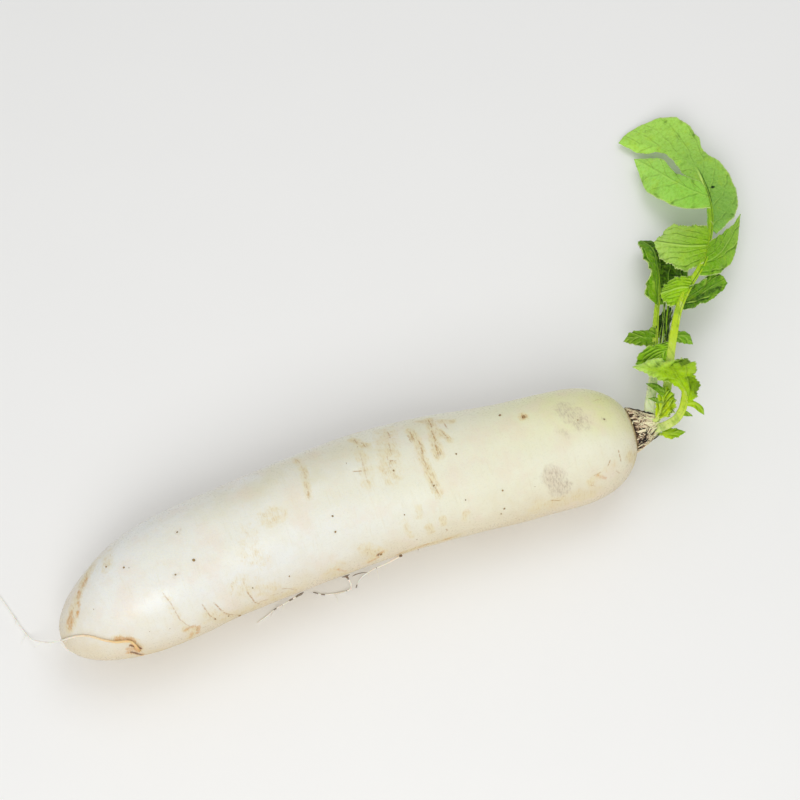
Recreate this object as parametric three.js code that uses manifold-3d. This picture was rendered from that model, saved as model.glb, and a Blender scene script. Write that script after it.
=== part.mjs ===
// White radish lying on a surface, with its crown, five leaves, tail and side rootlets.
// Millimetres, +Z up, +X from the tail to the crown. The origin is the middle of the flat
// that the root rests on.
import * as THREE from "three";
import { mergeVertices } from "three/addons/utils/BufferGeometryUtils.js";
import Module from "manifold-3d";

const wasm = await Module();
wasm.setup();

// Root: its ends, its bow seen from above and its thickness, as [x, value] pairs.
const tailEndX = -159;
const crownEndX = 165;
const bow = [
  [-159, -16],
  [-135, -12.7],
  [-105, -8],
  [-70, -2.8],
  [-30, -0.6],
  [8, 0.4],
  [50, -2],
  [90, -7],
  [130, -10.5],
  [165, -13.7],
];
const thickness = [
  [-159, 60],
  [-110, 67.2],
  [-70, 67.2],
  [-30, 68.8],
  [10, 68.6],
  [50, 67.8],
  [90, 65.2],
  [130, 63.2],
  [165, 60],
];
const tailEndLength = 129;
const tailEndFullness = 4.3;
const crownEndLength = 45;
const crownEndFullness = 3.2;
const restDepth = 1.0; // how far the underside is pressed flat
const highestAxis = 34;
const unevenness = 0.5;
const rootRings = 46;
const rootSides = 40;

// Crown: the collar of old leaf bases on the end of the root.
const crownRadius = 12.4;
const crownHeight = 9.5;
const crownTipRadius = 6.8;
const crownAxisHeight = 32.5;
const scaleRows = [
  { count: 12, along: 1.0, length: 5.5, lean: -0.1 },
  { count: 10, along: 4.0, length: 5.0, lean: -0.1 },
  { count: 8, along: 7.0, length: 4.5, lean: -0.05 },
];

// Leaves stand in their own frame: its origin is under the crown, x to the leaf side's right,
// y away along the leaves, z up from the surface.
const leafTurn = -21.5;
const crownTurn = 17; // the root's end direction in the leaf frame
const bladeThickness = 0.7;
const gap = 0.3; // between pieces that touch

// A smooth value at x between hand-set [x, value] pairs.
function along(pairs, x) {
  const last = pairs.length - 1;
  let i = 0;
  while (i < last - 1 && x > pairs[i + 1][0]) i++;
  const slope = (k) => {
    const a = pairs[Math.max(k - 1, 0)];
    const b = pairs[Math.min(k + 1, last)];
    return (b[1] - a[1]) / (b[0] - a[0]);
  };
  const [x0, v0] = pairs[i];
  const [x1, v1] = pairs[i + 1];
  const span = x1 - x0;
  const t = THREE.MathUtils.clamp((x - x0) / span, 0, 1);
  const t2 = t * t;
  const t3 = t2 * t;
  return (
    v0 * (2 * t3 - 3 * t2 + 1) +
    v1 * (3 * t2 - 2 * t3) +
    slope(i) * span * (t3 - 2 * t2 + t) +
    slope(i + 1) * span * (t3 - t2)
  );
}

function curveThrough(points) {
  return new THREE.CatmullRomCurve3(points.map((p) => new THREE.Vector3(...p)));
}

// A closed skin over equal rings of points, with a pole at each end.
function skinOver(firstPole, rings, lastPole) {
  const sides = rings[0].length;
  const points = [firstPole, ...rings.flat(), lastPole];
  const end = points.length - 1;
  const faces = [];
  for (let side = 0; side < sides; side++) {
    const next = (side + 1) % sides;
    faces.push(0, 1 + next, 1 + side);
    for (let ring = 0; ring < rings.length - 1; ring++) {
      const a = 1 + ring * sides;
      const b = a + sides;
      faces.push(a + side, a + next, b + next);
      faces.push(a + side, b + next, b + side);
    }
    faces.push(end - sides + side, end - sides + next, end);
  }
  return closedGeometry(points, faces);
}

function closedGeometry(points, faces) {
  const geometry = new THREE.BufferGeometry().setFromPoints(points);
  geometry.setIndex(faces);
  return geometry;
}

// Booleans work on manifold solids.
function solidOf(geometry) {
  const bare = geometry.clone();
  bare.deleteAttribute("normal");
  bare.deleteAttribute("uv");
  const merged = mergeVertices(bare, 1e-4);
  const corners = merged.index.array;
  const kept = [];
  for (let i = 0; i < corners.length; i += 3) {
    const [a, b, c] = [corners[i], corners[i + 1], corners[i + 2]];
    if (a !== b && b !== c && c !== a) kept.push(a, b, c);
  }
  return new wasm.Manifold(
    new wasm.Mesh({
      numProp: 3,
      vertProperties: merged.attributes.position.array,
      triVerts: new Uint32Array(kept),
    }),
  );
}

function geometryOf(solid) {
  const mesh = solid.getMesh();
  const geometry = new THREE.BufferGeometry();
  geometry.setAttribute("position", new THREE.BufferAttribute(mesh.vertProperties, 3));
  geometry.setIndex(new THREE.BufferAttribute(mesh.triVerts, 1));
  return geometry;
}

function joined(geometries) {
  return geometries.map(solidOf).reduce((whole, piece) => whole.add(piece));
}

// Root

// How much of the full thickness is left near the two rounded ends.
function endRounding(x, grown) {
  const tail = (tailEndX - grown + tailEndLength - x) / tailEndLength;
  const crown = (x - crownEndX - grown + crownEndLength) / crownEndLength;
  const tailShare = 1 - Math.max(tail, 0) ** tailEndFullness;
  const crownShare = 1 - Math.max(crown, 0) ** crownEndFullness;
  return Math.sqrt(Math.max(tailShare, 0) * Math.max(crownShare, 0));
}

function rootAxis(x) {
  const resting = along(thickness, x) / 2 - restDepth;
  const tailRise = 0.05 * Math.max(-110 - x, 0);
  const height = Math.min(resting, highestAxis) - tailRise + 0.04 * Math.max(x - 125, 0);
  return new THREE.Vector3(x, along(bow, x), height);
}

function rootSkin(grown = 0) {
  const start = tailEndX - grown;
  const end = crownEndX + grown;
  const rings = [];
  for (let ring = 1; ring < rootRings; ring++) {
    const x = start + (end - start) * (0.5 - 0.5 * Math.cos((Math.PI * ring) / rootRings));
    const centre = rootAxis(x);
    const tangent = rootAxis(x + 1).sub(rootAxis(x - 1)).setZ(0).normalize();
    const side = new THREE.Vector3(-tangent.y, tangent.x, 0);
    const radius = (along(thickness, x) / 2) * endRounding(x, grown) + grown;
    const points = [];
    for (let k = 0; k < rootSides; k++) {
      const angle = ((k + 0.5) / rootSides) * 2 * Math.PI;
      const wave = Math.sin(x / 19 + 2 * angle) + Math.sin(x / 31 - 3 * angle + 1);
      const upper = 0.5 + 0.5 * Math.sin(angle); // the underside stays even, where it rests
      const reach = radius + unevenness * wave * upper * endRounding(x, grown) ** 2;
      const point = centre.clone().addScaledVector(side, reach * Math.cos(angle));
      point.z = Math.max(centre.z + reach * Math.sin(angle), -grown);
      points.push(point);
    }
    rings.push(points);
  }
  return skinOver(rootAxis(start), rings, rootAxis(end));
}

// Stalks, rootlets and the crown are tubes whose width and height change along a curve.
function taperedTube(curve, steps, sides, sizeAt, { channel = 0, longer = 0 } = {}) {
  const rings = [];
  const start = curve.getPointAt(0).addScaledVector(curve.getTangentAt(0), -longer);
  for (let step = 0; step <= steps; step++) {
    const t = step / steps;
    const centre = step ? curve.getPointAt(t) : start.clone();
    const tangent = curve.getTangentAt(t);
    const across = new THREE.Vector3(tangent.y, -tangent.x, 0).normalize();
    const up = new THREE.Vector3().crossVectors(across, tangent);
    const [halfWidth, halfHeight] = sizeAt(t);
    const ring = [];
    for (let k = 0; k < sides; k++) {
      const angle = (k / sides) * 2 * Math.PI;
      const groove = channel * Math.max(Math.sin(angle), 0) ** 4;
      ring.push(
        centre
          .clone()
          .addScaledVector(across, -halfWidth * Math.cos(angle))
          .addScaledVector(up, halfHeight * (Math.sin(angle) - groove)),
      );
    }
    rings.push(ring);
  }
  return skinOver(start, rings, curve.getPointAt(1));
}

// A stalk from wide and thick at the crown to a fine midrib at the tip of its blade.
function stalk({ route, wide, high, fine, taper, steps, sides = 8, grown = 0 }) {
  const size = (t) => {
    const share = 1 - t ** taper;
    return [fine + (wide - fine) * share + grown, fine + (high - fine) * share + grown];
  };
  const shape = grown ? { longer: grown } : { channel: 0.3 };
  return taperedTube(curveThrough(route), steps, sides, size, shape);
}

// A blade between its left and right edge curves, which meet its midrib's end at the tip.
// Teeth step out at every other row; waves lift the margins.
function blade(spec) {
  const { mid, left, right, rows = 14, columns = 2 } = spec;
  const { teeth = 0, wave = 0, waves = 3, phase = 0, bulge = 0.6 } = spec;
  const midrib = curveThrough(mid);
  const edges = [curveThrough(left), curveThrough(right)];
  const grid = [];
  for (let row = 0; row <= rows; row++) {
    const t = row / rows;
    const centre = midrib.getPointAt(t);
    const line = [];
    for (let column = -columns; column <= columns; column++) {
      const share = Math.abs(column) / columns;
      const edge = edges[column < 0 ? 0 : 1].getPointAt(t);
      const out = edge.clone().sub(centre);
      const width = out.length();
      const tooth = row % 2 === 1 && share === 1 ? Math.min(teeth, 0.3 * width) : 0;
      const point = centre.clone().addScaledVector(out, share + tooth / Math.max(width, 1));
      const ripple = Math.sin(2 * Math.PI * waves * t + phase + (column < 0 ? 1.5 : 0));
      const damp = Math.min(width / 8, 1);
      point.z += damp * (wave * ripple * share * share + bulge * 4 * share * (1 - share));
      line.push(point);
    }
    grid.push(line);
  }
  return thickSheet(grid, bladeThickness);
}

// A closed sheet over a grid of points. Both faces are split along the same diagonals.
function thickSheet(grid, depth) {
  const rows = grid.length;
  const columns = grid[0].length;
  const normalAt = (row, column) => {
    const r = Math.min(row, rows - 2);
    const alongRow = grid[r + 1][column].clone().sub(grid[Math.max(r - 1, 0)][column]);
    const first = grid[r][Math.max(column - 1, 0)];
    const second = grid[r][Math.min(column + 1, columns - 1)];
    return second.clone().sub(first).cross(alongRow).normalize();
  };
  const points = [];
  for (const side of [0.5, -0.5]) {
    grid.forEach((line, row) => {
      line.forEach((point, column) => {
        points.push(point.clone().addScaledVector(normalAt(row, column), side * depth));
      });
    });
  }
  const half = rows * columns;
  const faces = [];
  const quad = (a, b, c, d) => faces.push(a, b, c, a, c, d);
  for (let row = 0; row < rows - 1; row++) {
    for (let column = 0; column < columns - 1; column++) {
      const a = row * columns + column;
      const b = a + columns;
      quad(a, a + 1, b + 1, b);
      faces.push(half + a, half + b + 1, half + a + 1, half + a, half + b, half + b + 1);
    }
    const a = row * columns;
    const b = a + columns;
    const c = a + columns - 1;
    const d = b + columns - 1;
    quad(half + a, a, b, half + b);
    quad(c, half + c, half + d, d);
  }
  for (let column = 0; column < columns - 1; column++) {
    const end = half - columns + column;
    quad(column, half + column, half + column + 1, column + 1);
    quad(end + 1, half + end + 1, half + end, end);
  }
  return closedGeometry(points, faces);
}

// The leaves. Each has its stalk's route and its blades; a blade's curves run base to tip.
const largeLeaf = {
  stalk: {
    wide: 2.5,
    high: 1.9,
    fine: 0.45,
    taper: 1.5,
    steps: 32,
    route: [
      [8, 5, 28],
      [11.5, 7, 28.7],
      [17, 17, 32.5],
      [20, 29, 36],
      [22, 44, 38],
      [25, 59, 38],
      [29, 75, 38],
      [36, 91, 36],
      [45, 107, 35],
      [50, 124, 33],
      [53, 146, 30],
      [51, 170, 25],
      [47, 185, 22],
      [39, 196, 18],
      [27, 206, 12],
      [16, 211, 8],
    ],
  },
  blades: [
    {
      rows: 26,
      columns: 3,
      wave: 1.6,
      waves: 3,
      teeth: 0.6,
      mid: [
        [51, 133, 31.5],
        [53, 155, 28],
        [51, 170, 25],
        [47, 185, 22],
        [39, 196, 18],
        [27, 206, 12],
        [16, 211, 8],
        [6, 215, 4],
      ],
      left: [
        [50, 134, 31.5],
        [51.5, 155, 28],
        [49, 169, 25],
        [43, 178, 21],
        [37, 192, 16],
        [30, 203, 11],
        [18, 207, 6],
        [6, 215, 4],
      ],
      right: [
        [55, 130, 30.5],
        [67, 145, 26.5],
        [70.5, 163, 24],
        [65, 183, 21],
        [54, 197, 20],
        [52, 210, 18],
        [43, 224, 14],
        [31, 229, 9],
        [13, 223.5, 5],
        [6, 215, 4],
      ],
    },
    {
      rows: 14,
      columns: 3,
      wave: 1,
      waves: 2,
      teeth: 0.4,
      mid: [
        [53, 157, 28],
        [43, 164, 26],
        [33, 175, 21],
        [25, 186, 15],
        [14, 199, 9],
      ],
      left: [
        [53, 148, 29.5],
        [42, 152, 25],
        [30.5, 160.5, 18],
        [20.5, 172.5, 12],
        [17, 187, 9],
        [14, 199, 9],
      ],
      right: [
        [51, 168, 26],
        [43, 175, 23],
        [35, 185, 17.5],
        [28, 197, 12.5],
        [14, 199, 9],
      ],
    },
    {
      rows: 12,
      columns: 2,
      wave: 1.2,
      waves: 2,
      teeth: 1.2,
      mid: [
        [48.5, 119, 34],
        [39, 119, 33.5],
        [29, 122, 31],
        [19.5, 127, 26],
      ],
      left: [
        [45, 106, 35],
        [34, 106, 30],
        [24, 115, 27],
        [19.5, 127, 26],
      ],
      right: [
        [51, 132, 32],
        [41, 135, 31],
        [31.5, 137.5, 27],
        [19.5, 127, 26],
      ],
    },
    {
      rows: 12,
      columns: 2,
      wave: 1,
      waves: 2,
      teeth: 0.6,
      mid: [
        [45, 106, 35],
        [53, 112, 34],
        [62, 127, 28],
        [72, 151, 20],
      ],
      left: [
        [50, 122, 33],
        [54, 126, 32],
        [65, 138, 26],
        [72, 151, 20],
      ],
      right: [
        [40, 98, 35.5],
        [51, 101, 31],
        [64, 117, 25],
        [72, 151, 20],
      ],
    },
    {
      rows: 12,
      columns: 2,
      wave: 0.6,
      teeth: 1,
      mid: [
        [36, 89, 36.3],
        [30, 88, 37.5],
        [25, 87, 36],
        [20, 87, 33],
      ],
      left: [
        [32, 80, 37.5],
        [27, 78, 35],
        [22, 82, 33],
        [20, 87, 33],
      ],
      right: [
        [38, 96, 35.8],
        [31, 96, 36],
        [24, 94, 33],
        [20, 87, 33],
      ],
    },
    {
      rows: 10,
      columns: 2,
      wave: 0.8,
      teeth: 0.6,
      bulge: -0.8,
      mid: [
        [31, 78, 37.5],
        [41, 86, 33],
        [50, 94, 29],
        [60, 101, 23],
      ],
      left: [
        [36, 90, 36.5],
        [44, 96, 33],
        [54, 106, 27],
        [60, 101, 23],
      ],
      right: [
        [29, 73, 38],
        [37, 78.5, 32.5],
        [53, 92, 24],
        [60, 101, 23],
      ],
    },
    {
      rows: 8,
      columns: 1,
      teeth: 0.5,
      mid: [
        [24.5, 56, 38],
        [30, 56.5, 37],
        [35.5, 54, 33],
      ],
      left: [
        [25, 59, 38],
        [32.5, 60, 35],
        [35.5, 54, 33],
      ],
      right: [
        [24, 53, 38],
        [31, 54, 34],
        [35.5, 54, 33],
      ],
    },
    {
      rows: 10,
      columns: 3,
      wave: 0.8,
      teeth: 0.8,
      mid: [
        [22, 48, 38],
        [17, 44, 38],
        [13, 37, 35],
      ],
      left: [
        [21, 40, 37.5],
        [26, 36, 35.5],
        [21, 34, 34],
        [13, 37, 35],
      ],
      right: [
        [23, 52, 38],
        [12, 50, 37],
        [4, 44, 33],
        [5, 38, 33],
        [13, 37, 35],
      ],
    },
  ],
};

const foldedLeaf = {
  stalk: {
    wide: 3.1,
    high: 2.2,
    fine: 0.5,
    taper: 0.9,
    steps: 24,
    route: [
      [4.5, 6.2, 32.7],
      [8, 7.6, 33.2],
      [9.2, 15, 34.2],
      [11.5, 27, 33.5],
      [14, 45, 31.5],
      [16, 65, 28],
      [18, 80, 25.5],
      [20, 92, 23],
      [21, 105, 20.5],
      [21, 118, 17.5],
      [20, 130, 14.5],
      [17, 136, 12],
    ],
  },
  blades: [
    {
      rows: 18,
      columns: 3,
      wave: 1.4,
      waves: 3,
      teeth: 0.7,
      mid: [
        [19, 85, 24.5],
        [20, 92, 23],
        [21, 105, 20.5],
        [21, 118, 17.5],
        [20, 130, 14.5],
        [14, 139, 10],
      ],
      left: [
        [18, 84, 25],
        [32, 95, 19],
        [39, 108, 14],
        [37, 124, 11],
        [28, 137, 9.5],
        [14, 139, 10],
      ],
      right: [
        [18, 86, 25],
        [12, 88, 29],
        [13, 96, 28.5],
        [16, 107, 26],
        [13, 122, 22],
        [12, 134, 15],
        [14, 139, 10],
      ],
    },
    {
      rows: 12,
      columns: 2,
      wave: 0.8,
      teeth: 0.7,
      mid: [
        [15.5, 59, 29],
        [9, 60.5, 29],
        [4, 62.5, 25.5],
        [-1, 63, 21],
      ],
      left: [
        [14.3, 52, 30],
        [10, 56, 28],
        [5, 58, 26],
        [-1, 63, 21],
      ],
      right: [
        [16, 67, 28],
        [9, 65.5, 28],
        [3, 66.5, 24],
        [-1, 63, 21],
      ],
    },
    {
      rows: 10,
      columns: 1,
      wave: 0.6,
      teeth: 0.6,
      mid: [
        [15.8, 62, 28.5],
        [21, 73, 25],
        [27, 86, 21],
      ],
      left: [
        [15.5, 59, 29],
        [25, 73, 23],
        [27, 86, 21],
      ],
      right: [
        [16.5, 68, 27.5],
        [20, 79, 23],
        [27, 86, 21],
      ],
    },
  ],
};

const curledLeaf = {
  stalk: {
    wide: 2.6,
    high: 2.1,
    fine: 0.5,
    taper: 1.6,
    steps: 24,
    route: [
      [7, 0.6, 32.8],
      [10.2, 0, 33.5],
      [14.5, -0.4, 36.3],
      [18, 0, 38.8],
      [22, 2, 41.2],
      [25, 6, 44],
      [26.3, 11, 46],
      [26, 15, 48],
      [23, 20, 49.5],
      [17, 24, 49.5],
      [11, 28, 48],
      [5, 31, 45.5],
    ],
  },
  blades: [
    {
      rows: 24,
      columns: 3,
      wave: 1.6,
      waves: 5,
      teeth: 1.3,
      bulge: 0.8,
      mid: [
        [26, 9, 45.3],
        [26.3, 12, 46.5],
        [26, 15, 48],
        [23, 20, 49.5],
        [17, 24, 49.5],
        [11, 28, 48],
        [5, 31, 45.5],
        [0, 33, 43],
      ],
      left: [
        [25.3, 9, 45.3],
        [25.2, 12, 46.5],
        [24.5, 15.5, 48],
        [19, 20, 49.3],
        [13, 22.5, 48.5],
        [8, 27, 46],
        [0, 33, 43],
      ],
      right: [
        [27, 8.5, 45],
        [31, 12, 43.5],
        [35.5, 21, 44],
        [32, 25, 46],
        [34, 34.5, 42],
        [30, 41, 41],
        [24, 36, 44.5],
        [16, 36.5, 45.5],
        [7, 36, 43],
        [0, 33, 43],
      ],
    },
    {
      rows: 8,
      columns: 1,
      mid: [
        [26, 9, 45.3],
        [32, 8.5, 45],
        [35, 7, 43],
        [37, 5, 40],
      ],
      left: [
        [26, 10.5, 45.6],
        [32, 10.3, 44.5],
        [36.3, 8, 42.5],
        [37, 5, 40],
      ],
      right: [
        [26, 8, 45],
        [31, 6.8, 44.5],
        [34, 5.3, 42.5],
        [37, 5, 40],
      ],
    },
    {
      rows: 4,
      columns: 1,
      mid: [
        [24, 4.5, 43],
        [27.5, 4, 43],
        [30.5, 3, 42],
      ],
      left: [
        [24.5, 5.5, 43.5],
        [27.5, 5.2, 43],
        [30.5, 3, 42],
      ],
      right: [
        [23.5, 3.5, 42.5],
        [27, 2.6, 42.5],
        [30.5, 3, 42],
      ],
    },
  ],
};

const youngLeaf = {
  stalk: {
    wide: 1.2,
    high: 1.0,
    fine: 0.4,
    taper: 1.2,
    steps: 12,
    sides: 6,
    route: [
      [7.5, 2.2, 36],
      [10, 2, 38],
      [12, 3.2, 39.3],
      [14, 8, 40.7],
      [16, 14, 42],
      [17, 19.5, 43],
    ],
  },
  blades: [
    {
      rows: 14,
      columns: 2,
      wave: 0.6,
      waves: 4,
      teeth: 1.1,
      bulge: 0.3,
      mid: [
        [11.5, 3, 39],
        [14, 8, 40.7],
        [16, 14, 42],
        [18, 21, 43],
      ],
      left: [
        [11, 4, 39.2],
        [11.5, 8, 40.3],
        [13, 15, 41.7],
        [18, 21, 43],
      ],
      right: [
        [12.5, 2.5, 39.4],
        [19.5, 5.5, 41],
        [21.5, 13, 42],
        [18, 21, 43],
      ],
    },
    {
      rows: 6,
      columns: 1,
      mid: [
        [16.5, 17, 42.5],
        [12, 21, 42.5],
        [7, 24, 40.5],
      ],
      left: [
        [15.5, 14.5, 42.2],
        [11.5, 18.5, 42.2],
        [7, 24, 40.5],
      ],
      right: [
        [17, 19, 42.8],
        [12, 23, 42],
        [7, 24, 40.5],
      ],
    },
    {
      rows: 6,
      columns: 1,
      mid: [
        [15, 11, 41.5],
        [11, 13.5, 41.5],
        [8, 15, 40],
      ],
      left: [
        [14.6, 10, 41.2],
        [11, 12.3, 41.2],
        [8, 15, 40],
      ],
      right: [
        [15.5, 12.5, 41.7],
        [11.5, 14.7, 41.5],
        [8, 15, 40],
      ],
    },
  ],
};

const budLeaf = {
  stalk: {
    wide: 1.2,
    high: 1.0,
    fine: 0.4,
    taper: 1.2,
    steps: 8,
    sides: 6,
    route: [
      [8, 0, 27.2],
      [12.5, 0, 27.6],
      [17.5, -0.3, 28.2],
      [22.5, 0.5, 28],
      [26, 1.6, 27],
    ],
  },
  blades: [
    {
      rows: 8,
      columns: 1,
      teeth: 0.8,
      mid: [
        [15.5, 0, 28.5],
        [19, -0.4, 28.4],
        [23, 0.7, 27.8],
        [28.5, 2, 26],
      ],
      left: [
        [15.5, -1, 28.2],
        [19, -2.6, 27.5],
        [24, -1.3, 27],
        [28.5, 2, 26],
      ],
      right: [
        [15.5, 1, 28.2],
        [18.5, 2.8, 28],
        [23, 3, 27.5],
        [28.5, 2, 26],
      ],
    },
  ],
};

const leafShades = [
  { name: "leaf_large", leaf: largeLeaf, color: 0x8cc050 },
  { name: "leaf_folded", leaf: foldedLeaf, color: 0x5e9a22 },
  { name: "leaf_curled", leaf: curledLeaf, color: 0x9cc42c },
  { name: "leaf_young", leaf: youngLeaf, color: 0xa9c41c },
  { name: "leaf_bud", leaf: budLeaf, color: 0x86b81e },
];

// Crown

function crownCurve(grown) {
  const turn = THREE.MathUtils.degToRad(crownTurn);
  const direction = new THREE.Vector3(Math.cos(turn), Math.sin(turn), 0);
  const base = new THREE.Vector3(0, 0, crownAxisHeight);
  return new THREE.LineCurve3(
    base.clone().addScaledVector(direction, -6),
    base.clone().addScaledVector(direction, crownHeight + grown),
  );
}

function crownSkin() {
  const collar = [
    [0, crownRadius],
    [0.35, crownRadius],
    [0.6, crownRadius - 2.4],
    [0.85, crownTipRadius + 0.6],
    [1, crownTipRadius - 1.6],
  ];
  const size = (t) => [along(collar, t), along(collar, t)];
  return taperedTube(crownCurve(0), 12, 22, size);
}

// Pointed leftovers of old leaf bases, in rows round the collar.
function crownScales() {
  const curve = crownCurve(0);
  const start = curve.v1;
  const forward = curve.v2.clone().sub(curve.v1).normalize();
  const sideways = new THREE.Vector3(-forward.y, forward.x, 0);
  const scales = [];
  scaleRows.forEach(({ count, along: reach, length, lean }, row) => {
    const radius = crownRadius - 1.4 - row * 2.2;
    for (let k = 0; k < count; k++) {
      const angle = ((k + 0.5 * (row % 2)) / count) * 2 * Math.PI;
      const outward = sideways.clone().multiplyScalar(Math.cos(angle));
      outward.z = Math.sin(angle);
      const growth = forward.clone().addScaledVector(outward, lean).normalize();
      const scale = new THREE.ConeGeometry(2.3, length + (k % 3), 5);
      scale.scale(1, 1, 0.45);
      const tangent = new THREE.Vector3().crossVectors(growth, outward).normalize();
      const thin = new THREE.Vector3().crossVectors(tangent, growth);
      const place = new THREE.Matrix4().makeBasis(tangent, growth, thin);
      place.setPosition(
        start
          .clone()
          .addScaledVector(forward, 6 + reach)
          .addScaledVector(outward, radius),
      );
      scales.push(scale.applyMatrix4(place));
    }
  });
  return scales;
}

// Tail and side rootlets: thin tapered threads, as routes with a diameter at each end.
const rootlets = {
  tail_rootlet: {
    base: 1.6,
    end: 0.9,
    steps: 56,
    route: [
      [-123.9, -39.3, 33.8],
      [-125, -38.1, 38.9],
      [-126.7, -36.5, 41.9],
      [-129.7, -35.4, 42.6],
      [-132.5, -34.6, 42.3],
      [-136.4, -32.8, 42.7],
      [-139.7, -30.8, 43.3],
      [-143.4, -28, 43.6],
      [-146.7, -25.6, 43.1],
      [-150.2, -23.6, 41.4],
      [-154.7, -21.2, 37.8],
      [-158, -19.2, 33.6],
      [-159.9, -16.5, 28.5],
      [-163.8, -11.8, 19],
      [-168.1, -6, 10.5],
      [-171.6, -1.6, 5.5],
      [-174.1, 1.9, 2.6],
      [-176, 6.4, 1.2],
      [-177.9, 13.1, 1],
      [-180.2, 22.3, 1],
      [-182.9, 32.2, 1],
      [-186, 43.9, 0.9],
    ],
  },
  side_rootlet_1: {
    base: 1.2,
    end: 0.8,
    steps: 20,
    route: [
      [21.3, -34.5, 25.6],
      [18.5, -33.6, 22.3],
      [14.4, -32.5, 18],
      [9.4, -30.6, 12.5],
      [5.3, -29, 7.5],
      [1.5, -28.4, 3.2],
      [-1.6, -29.6, 1.1],
      [-4.1, -32.5, 0.8],
    ],
  },
  side_rootlet_2: {
    base: 1.2,
    end: 0.8,
    steps: 20,
    route: [
      [-9.2, -32.4, 19.3],
      [-8.2, -33, 16],
      [-7.2, -33.5, 10],
      [-7.5, -33.3, 4],
      [-10.4, -32.5, 1.2],
      [-16.2, -31.3, 0.8],
      [-21.9, -29.7, 0.8],
      [-26.4, -26.4, 0.8],
    ],
  },
  side_rootlet_3: {
    base: 1.2,
    end: 0.8,
    steps: 20,
    route: [
      [-34.8, -33.2, 19.2],
      [-37.5, -32.5, 16.5],
      [-40.3, -31, 11.5],
      [-44, -29.5, 6],
      [-48.8, -28.8, 1.9],
      [-54.8, -30.6, 0.8],
      [-60.2, -32.3, 0.8],
    ],
  },
};

function rootlet({ base, end, steps, route }) {
  const size = (t) => {
    const radius = (base + (end - base) * Math.sqrt(t)) / 2;
    return [radius, radius];
  };
  return taperedTube(curveThrough(route), steps, 6, size);
}

// Assembly

function finish(color, roughness) {
  return new THREE.MeshStandardMaterial({ color, roughness, metalness: 0 });
}

function named(name, geometry, material) {
  const mesh = new THREE.Mesh(geometry, material);
  mesh.name = name;
  return mesh;
}

const radish = new THREE.Group();
radish.add(named("radish_root", geometryOf(solidOf(rootSkin())), finish(0xe9e6d4, 0.42)));

const threadFinish = finish(0xe3d9c2, 0.7);
for (const [name, shape] of Object.entries(rootlets)) {
  radish.add(named(name, geometryOf(solidOf(rootlet(shape))), threadFinish));
}

const leafGroup = new THREE.Group();
leafGroup.position.set(crownEndX, along(bow, crownEndX), 0);
leafGroup.rotation.z = THREE.MathUtils.degToRad(leafTurn);
leafGroup.updateMatrix();

const rootBehindCrown = rootSkin(gap).applyMatrix4(leafGroup.matrix.clone().invert());
let crown = joined([crownSkin(), ...crownScales()]).subtract(solidOf(rootBehindCrown));
for (const { name, leaf, color } of leafShades) {
  const pieces = [stalk(leaf.stalk), ...leaf.blades.map(blade)];
  crown = crown.subtract(solidOf(stalk({ ...leaf.stalk, grown: gap })));
  leafGroup.add(named(name, geometryOf(joined(pieces)), finish(color, 0.55)));
}
leafGroup.add(named("crown", geometryOf(crown), finish(0x8d7650, 0.9)));
radish.add(leafGroup);

export default radish;
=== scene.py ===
# White radish lying on its side, with its crown, five leaves, tail and side rootlets.
# Each CAD node is replaced by a finer piece of the same form. The dictionaries hold millimetres and
# degrees, in part.mjs's own frames; a piece is scaled to metres when it is finished.
import math
import random

import bmesh
import bpy
from mathutils import Matrix, Vector, noise


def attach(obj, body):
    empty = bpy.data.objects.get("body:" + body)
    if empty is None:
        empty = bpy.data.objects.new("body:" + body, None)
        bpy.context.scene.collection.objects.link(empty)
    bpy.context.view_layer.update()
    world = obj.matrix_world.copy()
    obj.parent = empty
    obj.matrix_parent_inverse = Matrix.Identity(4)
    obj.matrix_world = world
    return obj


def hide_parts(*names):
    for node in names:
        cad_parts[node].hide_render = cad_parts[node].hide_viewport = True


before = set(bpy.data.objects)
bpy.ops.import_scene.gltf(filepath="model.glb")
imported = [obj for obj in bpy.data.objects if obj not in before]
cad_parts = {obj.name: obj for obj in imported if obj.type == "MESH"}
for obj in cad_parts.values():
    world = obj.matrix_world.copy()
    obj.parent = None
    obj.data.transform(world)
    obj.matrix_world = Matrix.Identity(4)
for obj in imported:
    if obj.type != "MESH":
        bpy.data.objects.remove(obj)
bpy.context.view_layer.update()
mm = 0.001
toMetres = Matrix.Scale(mm, 4)
spanSteps = 24  # on a smooth curve, from one of its points to the next


# A smooth value at x between given (x, value) pairs.
def alongPairs(pairs, x):
    last = len(pairs) - 1
    i = 0
    while i < last - 1 and x > pairs[i + 1][0]:
        i += 1

    def slope(k):
        a = pairs[max(k - 1, 0)]
        b = pairs[min(k + 1, last)]
        return (b[1] - a[1]) / (b[0] - a[0])

    x0, v0 = pairs[i]
    x1, v1 = pairs[i + 1]
    span = x1 - x0
    t = min(max((x - x0) / span, 0), 1)
    rise = 3 * t**2 - 2 * t**3
    bend = slope(i) * (t**3 - 2 * t**2 + t) + slope(i + 1) * (t**3 - t**2)
    return v0 + (v1 - v0) * rise + span * bend


def smoothStep(low, high, value):
    t = min(max((value - low) / (high - low), 0), 1)
    return t * t * (3 - 2 * t)


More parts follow.
